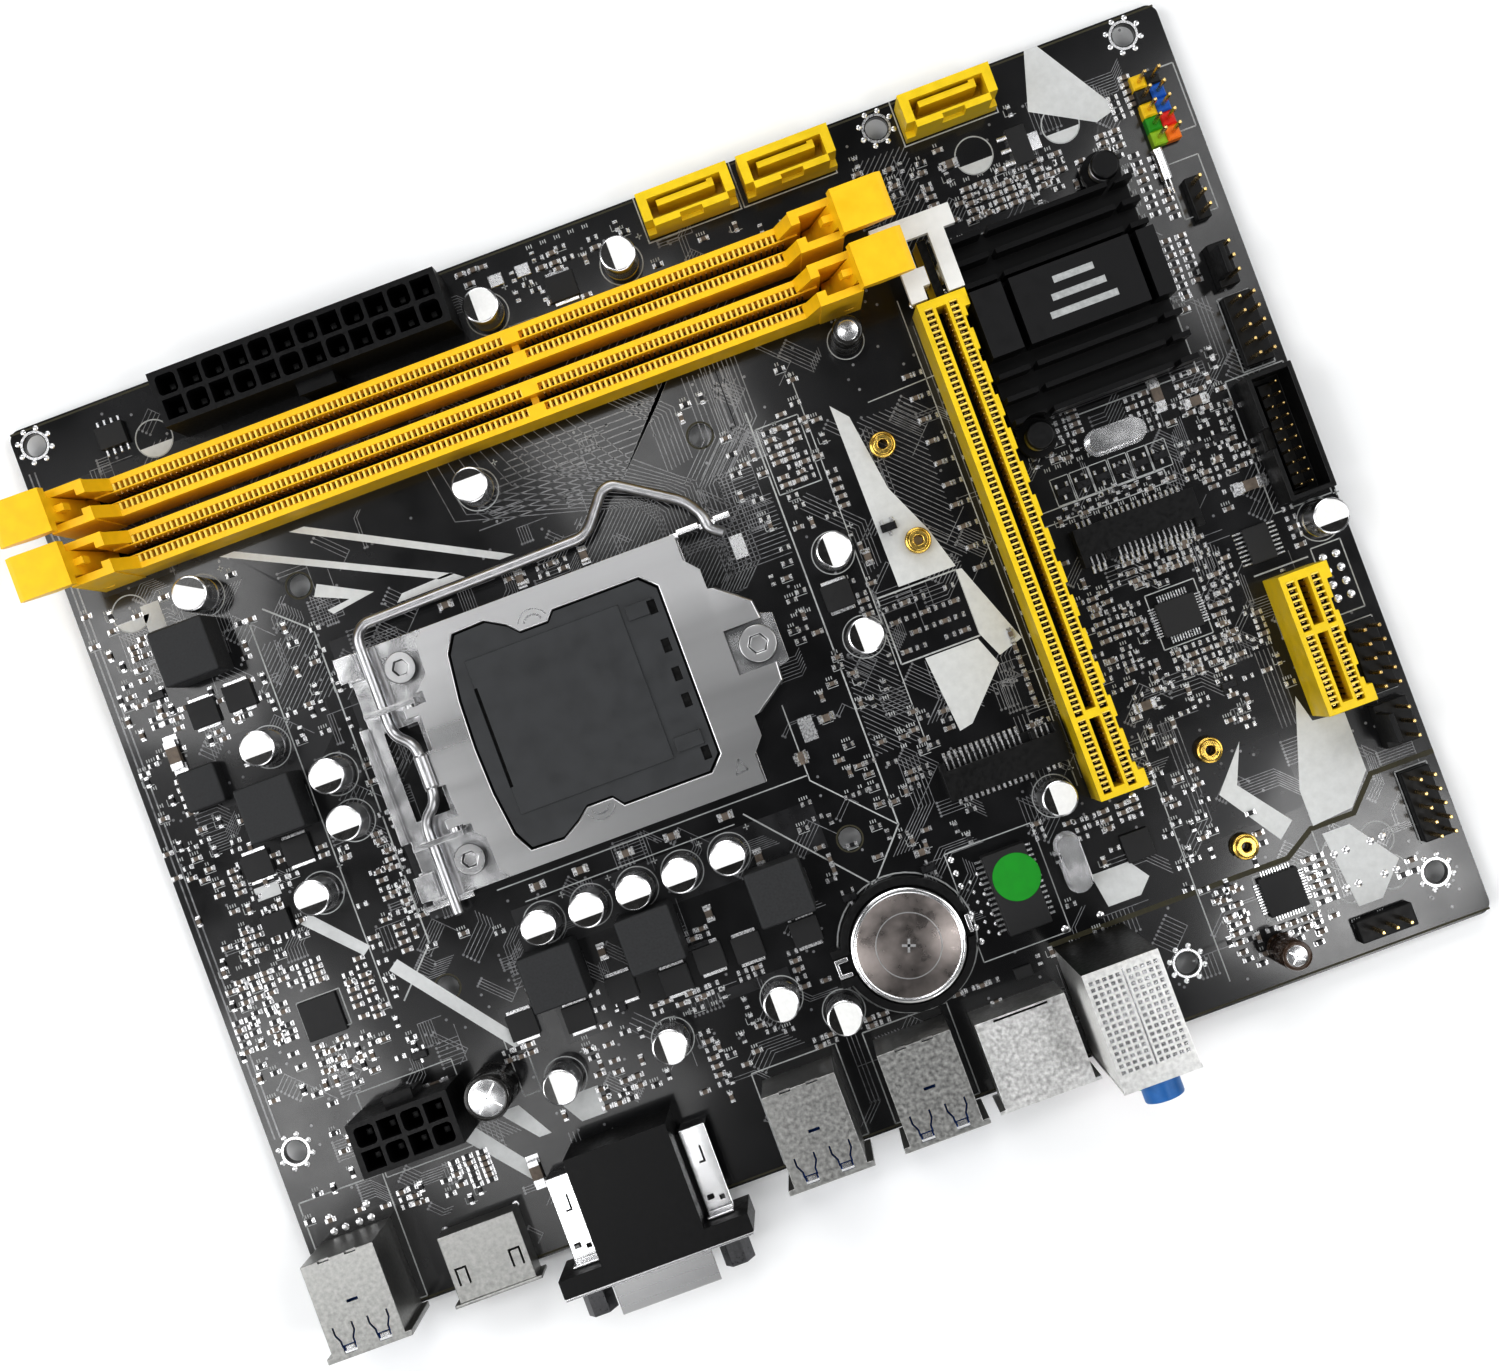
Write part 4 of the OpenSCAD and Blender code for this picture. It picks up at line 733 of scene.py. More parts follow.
# Rectangle, columns and rows of each group
for block in (
        (7, 118, 10.4, 126, 2, 4), (6, 110, 12, 112.6, 3, 2), (20, 106.4, 23.4, 108.6, 2, 2),
        (3.9, 59.3, 11, 64.2, 3, 4), (12.5, 58.5, 20, 63.2, 3, 4), (0.9, 51, 5.8, 57.6, 2, 5),
        (7.4, 50.5, 11.6, 58, 2, 6), (22, 50.5, 24.6, 59, 1, 6), (25, 49, 27.2, 61, 1, 8),
        (28.6, 53, 31.2, 69.6, 1, 11), (33.4, 58, 36, 64, 1, 4), (33.2, 64.6, 36.2, 74, 1, 6),
        (36.4, 63, 38.6, 77, 1, 9), (29, 77, 31.6, 80, 1, 2), (35.4, 77.8, 38, 80.2, 1, 2),
        (8, 67, 12, 72, 2, 4), (9.8, 77.5, 11.6, 83, 1, 4), (17.6, 76, 19.6, 83, 1, 5),
        (13, 43, 19.6, 49, 3, 4), (79, 42.6, 85.4, 45, 3, 2), (61, 33.6, 64.4, 41, 1, 5),
        (44, 33.6, 50, 36.6, 3, 2), (71, 32.6, 84, 35.2, 6, 2), (87, 33, 92.4, 35.4, 2, 2),
        (96, 28, 99.4, 35.8, 1, 5), (77, 17, 80, 28, 1, 7), (95.6, 17.4, 100, 20, 2, 2),
        (105, 17.6, 110, 20.2, 2, 2), (121, 17.4, 130, 19.2, 4, 1), (144, 37, 146.4, 42, 1, 4),
        (151, 34, 158, 40, 3, 4), (159, 36, 163.4, 40, 2, 3), (170, 9, 174, 20, 2, 7),
        (178, 6, 186, 10.6, 4, 3), (186, 10.6, 190, 20, 2, 6), (28, 15.4, 36, 21.6, 3, 6),
        (18, 16, 22, 20, 2, 3), (57, 20, 66, 25, 4, 3), (57.6, 26, 60, 32, 1, 4),
        (73, 111, 77, 114, 2, 2), (79, 111, 84.6, 114, 3, 2), (118, 85, 122.4, 88, 2, 2),
        (129.6, 85, 131.8, 90, 1, 4), (131, 60, 133.2, 63.6, 1, 3), (126.6, 54, 131.6, 58, 2, 3),
        (135.6, 61.4, 138.4, 66, 1, 3), (124, 111, 130.6, 122, 3, 8), (165, 146, 167, 155, 1, 6),
        (159.6, 150, 162, 157.6, 1, 5), (171, 143, 183, 149.6, 5, 5), (184, 144, 190, 150, 3, 4),
        (196, 146, 201, 150, 2, 3), (200, 150.6, 206, 158, 2, 6), (200, 118, 205.6, 129, 2, 8),
        (200, 131, 206, 145, 2, 9), (184.6, 98, 190, 105.6, 2, 5), (193.6, 98, 199.6, 106.4, 2, 5),
        (172, 102, 177, 107.4, 2, 4), (190, 86, 198, 90.6, 3, 3), (199, 86.4, 204, 98, 2, 7),
        (166, 60, 174, 64, 3, 3), (166.4, 66, 174, 74, 3, 5), (174.6, 74, 190, 79, 6, 3),
        (177, 56, 190, 61.6, 5, 4), (192, 58, 195.4, 63, 1, 4), (203.6, 70, 206.4, 80, 1, 6),
        (186.4, 62, 190.4, 72, 2, 6), (190.4, 66, 193.2, 74, 1, 5),
        (97, 161.4, 109.6, 164.8, 5, 2), (81, 165, 88, 167, 3, 1), (41.6, 158, 43.2, 164, 1, 4),
        (126.4, 12.6, 129.6, 16.6, 1, 3), (6.2, 93.6, 8.8, 101, 1, 5),
        (25.4, 78.6, 28, 84.6, 1, 4), (12, 124.6, 17, 126.4, 2, 1), (178.8, 23.6, 182.6, 33, 1, 5),
        (200.4, 10, 204.8, 14, 2, 2), (149.4, 54.8, 154, 58.6, 2, 2),
        (109.8, 64.8, 112.2, 67.6, 1, 2), (98.6, 38.8, 103.4, 41.2, 2, 1),
        (132, 104, 134.6, 112, 1, 5)):
    group(*block, chance=0.88)
group(151, 60, 154, 75, 1, 6, True)
for y in (86.6, 90.4, 94.2, 98.2, 102, 106, 110, 114, 118, 122):
    two_terminal(151.4, y, 1.5, 0.8, 0.7)
    two_terminal(153.2, y, 1.3, 0.8, 0.4, m=1)
for i in range(5):
    for j in range(4):
        if rng.random() < 0.85:
            two_terminal(134.6 + i * 2.7, 77.2 + j * 2.7, 1.5, 0.8, 0.6 if j % 2 else 0.42, False,
                         (i + j) % 2)
for i in range(9):
    two_terminal(169 + i * 2.2, 90.1, 1.5, 0.75, 0.42, True, 1)
for x in (60, 68, 76.5, 85, 95):
    two_terminal(x, 61.3, 2.1, 1.3, 0.95)
for x, y, l, w, h, up in (
        (8.3, 104.8, 5.2, 2.2, 1.6, True), (190.7, 103.8, 4.4, 1.8, 1.2, True),
        (196.5, 100.5, 3.6, 1.7, 1.2, False), (200.3, 83.6, 4.6, 2, 1.3, False),
        (42.5, 14.5, 4.4, 2, 1.3, True), (98, 52.5, 2.4, 1.4, 1, True),
        (134, 95, 2.2, 1.3, 1, True), (117.5, 71.3, 2.2, 1.3, 1, False),
        (111, 66.3, 2, 1.2, 0.9, False), (171, 154, 2.4, 1.4, 1, False),
        (170.2, 54, 3.2, 1.6, 1, False), (124.9, 43.6, 2, 1.2, 0.8, False),
        (75.8, 112.6, 2.4, 1.4, 1, True), (87.7, 112.6, 2.4, 1.4, 1, True),
        (62, 112.9, 2, 1.2, 0.9, False), (31.2, 34.6, 3.4, 1.8, 1.2, False),
        (52.4, 44.2, 2.2, 1.3, 1, True), (66.6, 46.6, 2.2, 1.3, 1, True),
        (86.4, 46.4, 2.2, 1.3, 1, True)):
    two_terminal(x, y, l, w, h, up)
for x in (90, 95):
    small.box(x, 163, 0, 0.3, 2.6, 2.2, m=2, chamfer=0.1)


KEPT_CLEAR = [
    (44, 60, 116, 124), (14, 134, 142, 154), (155, 41, 164.5, 134), (163, 104, 199, 142),
    (196, 41, 205, 68), (0, 0, 18, 17), (22, 0, 39, 12), (44, 0, 73, 20), (83, 0, 121, 18),
    (121, 0, 155, 18), (104, 16, 130, 43), (128, 21, 145, 42), (16, 22, 36, 39), (36, 26, 46, 36),
    (27, 153, 84, 168), (116, 158, 153, 168), (163, 158, 183, 168), (203, 15, 214, 168),
    (131, 49, 156, 59), (167, 79, 192, 88), (12, 114, 25, 126), (17, 84, 37, 96), (6, 93, 17, 103),
    (52, 40, 106, 59), (45, 34, 105, 44), (193, 68, 204, 79), (176, 62, 186, 72),
    (176, 11, 186, 20), (166, 92, 190, 98), (176, 96, 188, 103), (189, 8, 204, 23),
    (154, 2, 168, 18), (0, 26, 10, 39), (69, 124, 80, 136), (136, 126, 149, 138),
    (30, 120, 42, 134), (143, 92, 146, 114), (175, 41, 180, 46), (175, 23, 180, 28),
    (136, 62, 158, 124), (187, 150, 196, 158), (171, 151, 186, 158), (160, 28, 164, 36),
    (12, 156, 28, 166), (0, 158, 8, 168), (157, 158, 166, 168), (189, 24, 204, 47),
    (36, 11, 47, 27), (31, 36, 50, 57), (11, 48, 22, 58), (20, 60, 30, 76), (186, 150, 203, 168),
    (149, 22, 162, 30), (176, 23, 189, 43), (190, 66, 206, 70), (206, 0, 214, 168)]
KEPT_CLEAR += [(x - 4.2, y - 4.2, x + 4.2, y + 4.2) for x, y, _ in CAPS]
strewn = []


def strew(x0, y0, x1, y1, count):
    """Small parts spread over what is free in a rectangle, on a half-millimetre grid."""
    for _ in range(count):
        x, y = round(rng.uniform(x0, x1) * 2) / 2, round(rng.uniform(y0, y1) * 2) / 2
        up = rng.random() < 0.35
        w, h = (0.6, 1.0) if up else (1.0, 0.6)
        if any(a - w < x < c + w and b - h < y < d + h for a, b, c, d in KEPT_CLEAR):
            continue
        if any(abs(x - p) < 1.9 and abs(y - q) < 1.4 for p, q in strewn):
            continue
        strewn.append((x, y))
        two_terminal(x, y, 1.45, 0.75, 0.7 if rng.random() < 0.5 else 0.4, up,
                     int(rng.random() < 0.5))


strew(165, 56, 206, 118, 420)
strew(164, 142, 206, 160, 160)
strew(165, 4, 206, 56, 260)
strew(1, 40, 40, 133, 420)
strew(36, 14, 160, 60, 420)
strew(112, 60, 136, 132, 110)
strew(2, 14, 60, 60, 160)
strew(84, 153, 204, 166, 120)


def sot(x, y, turn=0.0):
    """A three-lead device."""
    c, s = math.cos(math.radians(turn)), math.sin(math.radians(turn))
    small.box(x, y, 0.1, 1.0, 2.7, 1.35, turn, m=1, chamfer=0.12)
    for u, v in ((-0.95, 1.05), (0.95, 1.05), (0, -1.05)):
        small.box(x + u * c - v * s, y + u * s + v * c, 0, 0.3, 0.5, 0.95, turn, m=2, chamfer=0.05)


for x in SOT_ROW_X:
    sot(x, 93.8)
for x, y, t in (
        (194, 93, 0), (198.4, 93.2, 0), (125, 40.6, 180), (9, 115.6, 0), (66.6, 37, 90),
        (15.4, 124.6, 0), (131.4, 99.6, 90), (184.8, 52.4, 0), (164.4, 143.6, 90),
        (201.6, 66.8, 90), (30.4, 40.8, 0), (110.4, 40.6, 0), (139.2, 98.6, 0), (111.6, 27.2, 90)):
    sot(x, y, t)
small.box(82.4, 41.9, 0, 0.8, 4.6, 1.0, m=1, chamfer=0.1)
small.done("surface_parts", "chip", [CERAMIC, RESISTOR, SOLDER])

# ---------- plated holes and solder ----------

dots = Build()


def dome(x, y, r=0.55, h=0.3):
    dots.turned(x, y, [(r, -0.02), (r * 0.97, h * 0.35), (r * 0.75, h * 0.75), (r * 0.35, h)], 12)


HOLES = ((3.9, 32.36), (161.38, 9.5), (207.1, 9.5), (3.9, 164.44), (161.38, 164.44),
         (207.1, 164.44))
for hx, hy in HOLES:
    for k in range(8):
        a = math.radians(22.5 + 45 * k)
        dome(hx + 3.05 * math.cos(a), hy + 3.05 * math.sin(a), 0.5, 0.18)
for x, y in ((5.4, 19.5), (12.4, 19.5), (5.4, 16.9), (7.6, 17), (10.2, 17), (12.4, 17)):
    dome(x, y, 0.7, 0.25)
for y in (40.5, 38, 35.6, 30.4, 28, 25.4):
    dome(129.2, y, 0.6, 0.25)
for i in range(4):
    for x in (207.8, 210.2):
        dome(x, 59.8 + i * 2.5, 0.75, 0.22)
for x, y in BARE_CANS:
    for s in (-1, 1):
        dome(x + s * 1.1, y, 0.7, 0.22)
for i in range(13):
    dome(132.6 - 1.6 * (i % 2), 25.6 + i * 0.92, 0.4, 0.25)
for x, y in ((53.4, 12.8), (64.4, 12.8), (37, 10.4), (23.8, 10.4), (118.6, 20.6), (122.4, 22.6),
             (143.6, 22.4),
             (150.2, 22.6), (156.6, 43.6), (162.6, 133.4), (156.6, 133.4), (162.6, 40),
             (105.4, 31), (128.8, 29.8)):
    dome(x, y, 0.7, 0.3)
dots.done("plated_holes", "solder", [SOLDER])

# ---------- printing and copper under the mask ----------

INK_LOW, INK_HIGH = -0.02, 0.035
ink = Build()         # solid print 0, fine print 1


def corners(x0, y0, x1, y1):
    return (x0, y0), (x1, y0), (x1, y1), (x0, y1)


def area(*pts):
    ink.prism(list(pts), INK_LOW, INK_HIGH, 0)


def line(*pts, w=0.22, m=1):
    ink.ribbon(list(pts), w, INK_LOW, INK_HIGH - 0.005, m)


def frame_line(x0, y0, x1, y1, w=0.22):
    line((x0, y0), (x1, y0), w=w)
    line((x0, y1), (x1, y1), w=w)
    line((x0, y0), (x0, y1), w=w)
    line((x1, y0), (x1, y1), w=w)


def circle(x, y, r, w=0.22):
    ink.ring(x, y, r - w / 2, r + w / 2, INK_LOW, INK_HIGH - 0.005, 40, 1)


area((40.6, 134.5), (43.4, 134.5), (76.4, 117.0), (73.6, 117.0))
area((27.6, 134.7), (30.4, 134.7), (65.4, 117.5), (62.6, 117.5))
area((54.1, 116.2), (66.9, 116.3), (64.8, 117.9), (55.5, 117.5))
area((42, 124.3), (40.8, 122.3), (46.5, 119.8), (42.2, 119.3), (43, 118.3), (51, 119.5))
area((18.6, 69.4), (20.6, 70.6), (28.8, 61.6), (27.2, 60.4))
area((30.4, 56.4), (32.4, 57.8), (48.8, 36.6), (47, 35.4))
area((32, 24.5), (35, 25.5), (43.5, 14.6), (41.4, 13.4))
area((39.5, 26.5), (43.5, 26.5), (47.3, 20), (45, 20))
area((50, 25), (57.7, 25), (57.7, 20), (53, 20))
area((136.9, 122), (139.5, 119), (141.5, 105), (145.5, 96), (147.8, 88.2), (137.2, 88.2))
area((137.2, 75), (147, 75), (149, 69.8), (141, 61.5), (138.5, 61))
area((147.6, 87.6), (148.6, 87.5), (154.2, 72.5), (149.6, 71), (147.6, 75.5))
area((190, 168), (192.4, 168), (201.7, 153), (197.5, 151.9), (187, 157.8))
area((183.2, 42.5), (180.2, 35.5), (187, 26.5), (184, 24), (176.7, 35))
area((195, 46.5), (196.3, 41.5), (202, 40.9), (202, 30.3), (197.5, 25), (190, 24.3), (190, 31))
area((191, 22.5), (196, 22.5), (202, 14), (197, 8.5), (192.6, 8.5))
area((151, 29.6), (158, 29.6), (160.5, 26), (158, 23.4), (152, 23.4))
area(*corners(13, 75.6, 17.4, 78))
area(*corners(11.4, 126.6, 14.8, 131.4))

for x, y in ((24.1, 158.2), (175.6, 154), (191.5, 153.8), (9.5, 130.8)):
    circle(x, y, 3.3, 0.25)
    ink.prism([(x + 3.2 * math.cos(math.radians(200 + 140 * i / 14)),
                y + 3.2 * math.sin(math.radians(200 + 140 * i / 14)))
               for i in range(15)], INK_LOW, INK_HIGH, 0)
for x, y, _ in CAPS:
    circle(x, y, 3.75)
    line((x + 3.9, y + 3.4), (x + 5.0, y + 3.4))
    line((x + 4.45, y + 2.85), (x + 4.45, y + 3.95))
for x, y in BARE_CANS:
    circle(x, y, 3)
circle(*BATTERY_AT, 12.2, 0.3)
circle(143.5, 131.6, 3.2)

line((31.5, 123.5), (38.7, 117), (38.7, 58.5), (31, 50.5), w=0.3)
line((28.5, 122), (28.5, 50), w=0.25)
line((122.8, 126), (122.8, 49.5), (115.2, 41), (98, 60.6), w=0.3)
line((111, 76), (111, 62), (122.8, 49.5), w=0.25)
line((132.3, 130), (132.3, 60), w=0.22)
line((154.3, 45), (154.3, 135), w=0.22)
line((167.2, 4), (167.2, 50), w=0.22)
line((189.5, 10), (189.5, 23.6), w=0.22)
line((53, 63), (111, 63), w=0.25)
line((57, 59.4), (96, 59.4), w=0.22)
for x in (126, 143.75, 173.6):
    line((x - 8.6, BOARD_Y), (x - 8.6, 159.6), (x + 8.6, 159.6), (x + 8.6, BOARD_Y), w=0.25)
for frame_at in ((1.2, 0.8, 16.9, 23.6, 0.25), (83.6, 0.8, 99.2, 17.6, 0.25),
                 (104.2, 0.8, 119.8, 17.6, 0.25), (206.3, 145.3, 213.4, 157, 0.25),
                 (206.3, 57, 211.7, 69.5, 0.25), (133, 75.4, 147.6, 87.6, 0.3),
                 (123.4, 110.4, 131.2, 122.6), (206.2, 102.2, 212, 115.6, 0.25),
                 (206.4, 42, 212.2, 55.2, 0.25), (206.4, 15, 212.2, 28.2, 0.25),
                 (206, 130.6, 212, 140.6), (202.6, 77.4, 213.2, 101.8, 0.25)):
    frame_line(*frame_at)
line((195.5, 68.4), (205.5, 68.4), w=0.3)
for frame_at in ((162.6, 89, 187.4, 91.4), (13, 50, 21, 56.6), (17.4, 22.6, 35.2, 38.2),
                 (177, 11.4, 185.2, 19.6), (176.6, 61.8, 185.6, 71.8)):
    frame_line(*frame_at)
for x in SOT_ROW_X:
    frame_line(x - 1.65, 91.6, x + 1.65, 96.4, 0.18)
line((143.4, 120.2), (168.6, 121))
line((166, 98.6), (168, 100.6))
for frame_at in ((163.6, 105.4, 198.8, 140.8, 0.25), (128.4, 21.8, 144.4, 41.8),
                 (45, 27.6, 48.2, 39.6)):
    frame_line(*frame_at)

# Rows of short ticks beside the small parts, in place of the designators
for x0, y0, x1, y1, step in (
        (170, 150.6, 190, 150.6, 2.4), (190.6, 107.6, 199.6, 107.6, 1.9),
        (164, 141.6, 170, 141.6, 1.8), (198.8, 118, 198.8, 145, 2.2), (155.6, 60, 155.6, 122, 3.9),
        (29.9, 53, 29.9, 53, 1), (168, 98.2, 178, 98.2, 1.8), (176, 80.4, 190, 80.4, 2.1),
        (191, 56.8, 196, 56.8, 1.7), (71, 31.4, 84, 31.4, 2.2), (58, 33.6, 58, 35.4, 1.4),
        (128, 62, 128, 74, 2.6), (3, 66, 10, 66, 2), (2.2, 84, 2.2, 104, 3),
        (97, 166.4, 110, 166.4, 2.4), (169, 88.4, 187, 88.4, 2.2), (118, 90, 123, 90, 1.7),
        (41.6, 157, 41.6, 166, 2)):
    n = max(1, int(math.hypot(x1 - x0, y1 - y0) / step))
    for i in range(n):
        t = i / n
        x, y = x0 + (x1 - x0) * t, y0 + (y1 - y0) * t
        for k in range(3):
            ink.box(x + k * 0.42, y, INK_LOW, INK_HIGH - 0.005, 0.2, 0.75 - 0.2 * (k % 2), m=1)
for x, y in strewn:
    if rng.random() < 0.6:
        n = rng.randint(2, 4)
        for k in range(n):
            ink.box(x + (k - n / 2) * 0.45, y + 1.0, INK_LOW, INK_HIGH - 0.005, 0.2, 0.6, m=1)
    if rng.random() < 0.35:
        line((x - 1, y - 0.7), (x + 1, y - 0.7), w=0.14)
        line((x - 1, y - 0.7), (x - 1, y + 0.5), w=0.14)
ink.done("board_print", "white_plastic", [INK, MARK])

# Tracks and vias take the grey that carries the painted sheen.
copper = Build()      # tracks 0, broad areas 1, bare laminate 2, pads 3
LOW, HIGH = -0.02, 0.012


def track(pts, w=0.16):
    copper.ribbon(pts, w, LOW, HIGH, 0)


def bundle(pts, count, dx, dy, w=0.16):
    """Parallel tracks, each a step away from the one before."""
    for i in range(count):
        track([(x + dx * i, y + dy * i) for x, y in pts], w)


def hatch(x0, y0, x1, y1, pitch, rising=True, w=0.16):
    """Tracks at 45 degrees across a rectangle."""
    k = 1 if rising else -1
    n = int((x1 - x0 + y1 - y0) / (pitch * 1.414))
    for i in range(1, n):
        d = i * pitch * 1.414
        a = (x0 + max(0, d - (y1 - y0)), min(d, y1 - y0))
        b = (x0 + min(d, x1 - x0), max(0, d - (x1 - x0)))
        ends = [(x, y0 + v if k < 0 else y1 - v) for x, v in (a, b)]
        if math.dist(*ends) > 0.6:
            track(ends, w)


def pour(*pts):
    copper.prism(list(pts), LOW, HIGH - 0.006, 1)


copper.ribbon([(140, 20.6), (184, 20.6), (189.5, 24), (197.4, 24), (202.5, 29.4), (BOARD_X, 29.4)],
              0.9, LOW, HIGH + 0.004, 2)
for y in (0.5, BOARD_Y - 0.5):
    copper.ribbon([(0.4, y), (BOARD_X - 0.4, y)], 0.35, LOW, HIGH, 2)
for i in range(15):
    x = 67 + i * 2.0
    down = 12 + abs(i - 7) * 0.9
    track([(x, 136), (x + 1.6 + i * 0.3, 136 - down * 0.55),
           (99.6 + i * 0.62, 119.6 - (14 - i) * 0.16)])
    track([(99.6 + i * 0.62, 119.6 - (14 - i) * 0.16), (101.8 + i * 0.62, 118 - (14 - i) * 0.3),
           (101.8 + i * 0.62, 108 + i * 0.5)])
bundle([(108.4, 118), (114.4, 124), (114.4, 135.6)], 9, 1.0, -0.1)
bundle([(100, 137), (106.6, 130.4), (106.6, 121)], 7, 0.8, 0.15)
bundle([(72, 123), (99, 123), (110, 134), (110, 137)], 10, 1.1, 1.2, 0.22)
bundle([(100, 96.6), (106, 96.6), (110, 100.6), (110, 116), (118, 124), (118, 137)], 9, 0.8, 0.1,
       0.2)
hatch(88, 110.4, 103, 119, 0.62)
hatch(104, 99.6, 111.6, 110, 0.62)
hatch(28.9, 105, 38.4, 117.6, 0.7)
hatch(140.4, 89.4, 150.4, 118, 0.8, False)
hatch(123.4, 62, 131.8, 80, 0.75, False)
hatch(155, 142, 165, 160, 0.8)
hatch(96, 138, 128, 146, 1.1)
hatch(40, 137, 62, 146, 1.3)
bundle([(110.6, 100.4), (122, 100.4)], 15, 0, 0.78)
bundle([(1.2, 35.6), (1.2, 160)], 2, 1.0, 0, 0.3)
bundle([(134, 98), (140, 104), (140, 116)], 4, 0.8, 0)
bundle([(133.6, 64), (137, 67.4), (137, 74.6)], 5, 0.8, 0)
bundle([(120, 44.5), (126.5, 51), (126.5, 60)], 6, 0.7, 0)
bundle([(155.4, 46), (155.4, 130)], 3, 0.8, 0)
bundle([(163.6, 60), (163.6, 130)], 2, 0.8, 0)
bundle([(150.4, 46.6), (150.4, 60)], 4, -0.8, 0)
bundle([(168, 118), (160.6, 112)], 4, 0.7, -0.7)
bundle([(199.4, 101), (204.6, 106), (204.6, 117)], 4, -0.7, 0)
bundle([(191, 42), (191, 56)], 5, 0.8, 0)
bundle([(168.6, 26), (174, 31.4), (174, 50)], 4, -0.8, 0.2)
bundle([(125, 108), (133, 100), (133, 92)], 5, 0.7, 0.3)
bundle([(42, 8.4), (50, 16.4), (50, 19)], 3, 0.8, -0.1)
bundle([(100, 2.4), (103, 5.4), (103, 21)], 3, -0.8, 0)
bundle([(66, 32.6), (70, 28.6)], 4, 0.7, 0.7)
bundle([(18.4, 139), (18.4, 152), (24, 157.6)], 3, 1.1, 0)
bundle([(5, 138), (5, 150), (9, 154)], 4, 1.2, 0)
for box in ((40.4, 96.6, 46, 114), (40.4, 62, 46, 78)):
    pour(*corners(*box))
pour((13, 93), (30, 93), (36.4, 99.4), (36.4, 104.6), (13, 104.6))
for box in ((54, 50, 110, 58.8), (6, 135, 36, 156.4), (84, 150.8, 126, 154.6), (64, 31, 96, 33),
            (168.8, 28, 190, 41.6)):
    pour(*corners(*box))
for x, y, sx, sy in ((42.8, 107.8, 3.2, 5.4), (43.4, 102, 2.8, 3.8), (42.6, 68.2, 3, 4.4),
                     (43.4, 72.6, 2.8, 3),
                     (113.6, 104.6, 2.4, 4.2), (113.8, 70.6, 2.6, 4.4)):
    copper.box(x, y, LOW, HIGH + 0.012, sx, sy, m=3)
for hx, hy in HOLES:
    copper.ring(hx, hy, 2.15, 2.6, LOW, HIGH + 0.012, 40, 3)
for cx in (39, 114):
    for cy in (50.1, 125.1):
        copper.ring(cx, cy, 2.15, 2.45, LOW, HIGH, 32, 2)
for cx, cy in ((51.2, 105.2), (51, 69.8)):
    copper.ring(cx, cy, 2.2, 4.6, LOW, HIGH + 0.012, 32, 3)
for x, y in ((49.2, 39.4), (58.9, 37.4)):
    pour(*corners(x - 3.5, y - 4, x + 3.5, y + 4))

# Loose runs of parallel tracks, then vias, at random where the board is free
RUNS = ((1, 0), (0, 1), (0.707, 0.707), (0.707, -0.707))
RUN_COUNT, VIA_COUNT = 330, 700
NO_VIAS = (
    (48, 62, 112, 112), (140, 0, 156, 22), (15, 134, 142, 153), (164, 105, 198, 141),
    (0, 0, 122, 18))
for _ in range(RUN_COUNT):
    x, y = rng.uniform(4, 206), rng.uniform(4, 160)
    u, v = RUNS[rng.randrange(4)]
    p, q = RUNS[rng.randrange(4)]
    if (u, v) == (p, q):
        p, q = v, -u
    n, pitch = rng.randint(2, 8), rng.choice((0.5, 0.6, 0.75))
    first, second = rng.uniform(2, 7), rng.uniform(1.5, 6)
    for i in range(n):
        ax, ay = x - v * pitch * i, y + u * pitch * i
        bx, by = ax + u * first, ay + v * first
        ends = [(ax, ay), (bx, by), (bx + p * second, by + q * second)]
        if all(1 < a < BOARD_X - 1 and 1 < b < BOARD_Y - 1 for a, b in ends):
            copper.ribbon(ends, 0.14, LOW, HIGH - 0.003 + 0.0003 * i, 0)
            copper.turned(ax, ay, [(0.26, LOW), (0.26, HIGH)], 8, 0)
for _ in range(VIA_COUNT):
    x, y = rng.uniform(2, BOARD_X - 2), rng.uniform(2, BOARD_Y - 2)
    if not any(x0 < x < x1 and y0 < y < y1 for x0, y0, x1, y1 in NO_VIAS):
        copper.turned(x, y, [(0.28, LOW), (0.28, HIGH)], 8, 0)
copper.done("board_copper", "laminate", [TRACK_WITH_SHEEN, POUR, OLIVE, SOLDER])

# The plain mark on the heatsink's pad: three bars
bars = Build()
for k in range(3):
    bars.box(182.2, 121.6 + k * 2.8, 11.98, 12.03, 12 - 2.4 * k, 1.2)
bars.done("heatsink_mark", "white_plastic", [MARK])

# ---------- light, floor and camera ----------

world = bpy.context.scene.world or bpy.data.worlds.new("World")
bpy.context.scene.world = world
world.use_nodes = True
world.node_tree.nodes["Background"].inputs["Color"].default_value = (0.97, 0.985, 1, 1)
world.node_tree.nodes["Background"].inputs["Strength"].default_value = 0.16
bpy.context.scene.view_settings.view_transform = "Standard"
bpy.context.scene.view_settings.look = "None"
bpy.context.scene.view_settings.gamma = 0.78


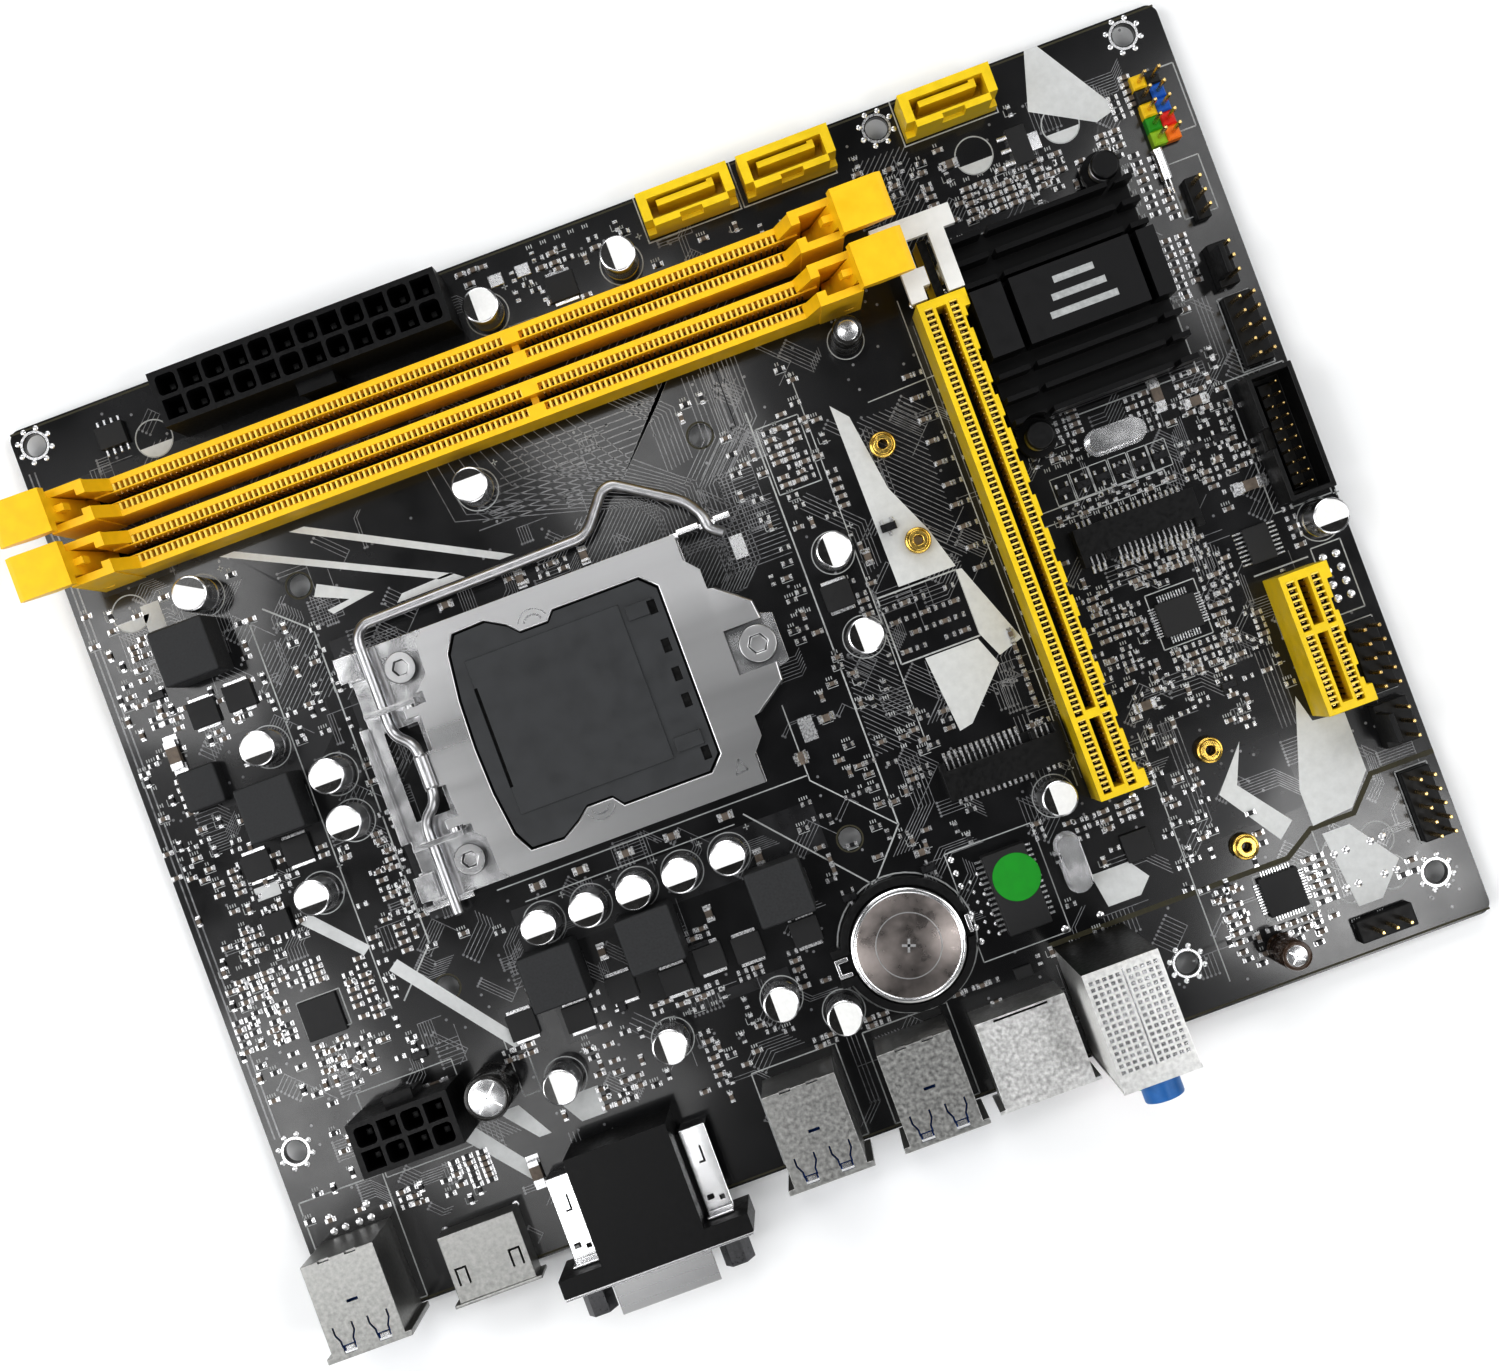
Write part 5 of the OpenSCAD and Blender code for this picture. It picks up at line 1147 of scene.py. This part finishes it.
def softbox(name, where, size, power, aim=(107, 84, 0)):
    lamp = bpy.data.lights.new(name, "AREA")
    lamp.shape, lamp.size, lamp.size_y, lamp.energy = "RECTANGLE", size[0], size[1], power
    lamp.diffuse_factor = 0.06 if power < 1 else 1
    o = bpy.data.objects.new(name, lamp)
    o.location = row(*where)
    o.rotation_euler = (row(*aim) - o.location).to_track_quat("-Z", "Y").to_euler()
    bpy.context.scene.collection.objects.link(o)


softbox("left_box", (-1100, 160, 1000), (0.9, 1.2), 12)
softbox("right_box", (1250, 40, 1000), (0.9, 1.2), 8.5)
softbox("rear_box", (60, -1200, 950), (1.2, 0.8), 7)
softbox("front_box", (140, 1300, 950), (1.2, 0.8), 8.5)
# Small lamps, each placed where the camera sees it mirrored in the board at its own point
EYE_X, EYE_Y, SPREAD, GLOW_Z = 113.7, 79, 2.576, 550
for k, (px, py, power) in enumerate((
        (12, 126, 0.2), (104, 134, 0.13), (4, 40, 0.19), (50, 20, 0.12), (194, 12, 0.3),
        (211, 134, 0.13))):
    softbox("glow_%d" % k, (EYE_X + (px - EYE_X) * SPREAD, EYE_Y + (py - EYE_Y) * SPREAD, GLOW_Z),
            (0.1, 0.1), power, (px, py, 0))

HALF_FLOOR = 3
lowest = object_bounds()[0][2]
floor = bpy.data.meshes.new("floor")
floor.from_pydata([(x, y, lowest - 0.0002) for x, y in corners(-HALF_FLOOR, -HALF_FLOOR,
        HALF_FLOOR, HALF_FLOOR)],
                  [], [(0, 1, 2, 3)])
ground = bpy.data.objects.new("floor", floor)
bpy.context.scene.collection.objects.link(ground)
PAPER = finish_for("paper", (0.95, 0.955, 0.96), 0.9, vary=0.01, grain=3, bump=0.02, specular=0.1)
floor.materials.append(PAPER)

camera = bpy.data.cameras.new("camera")
camera.lens, camera.sensor_width, camera.clip_start = 48, 36, 0.01
eye = bpy.data.objects.new("camera", camera)
bpy.context.scene.collection.objects.link(eye)
# The camera's place, and its turn from a fit to the screw holes and the board's corners
EYE_AT = (113.7034, 78.9512, 348.664)
EYE_TURN = Matrix(((0.937176, 0.348324, 0.019282), (-0.348267, 0.937374, -0.006334),
                   (-0.020281, -0.000779, 0.999794)))
eye.matrix_world = Matrix.Translation(row(*EYE_AT)) @ EYE_TURN.to_4x4()
bpy.context.scene.camera = eye
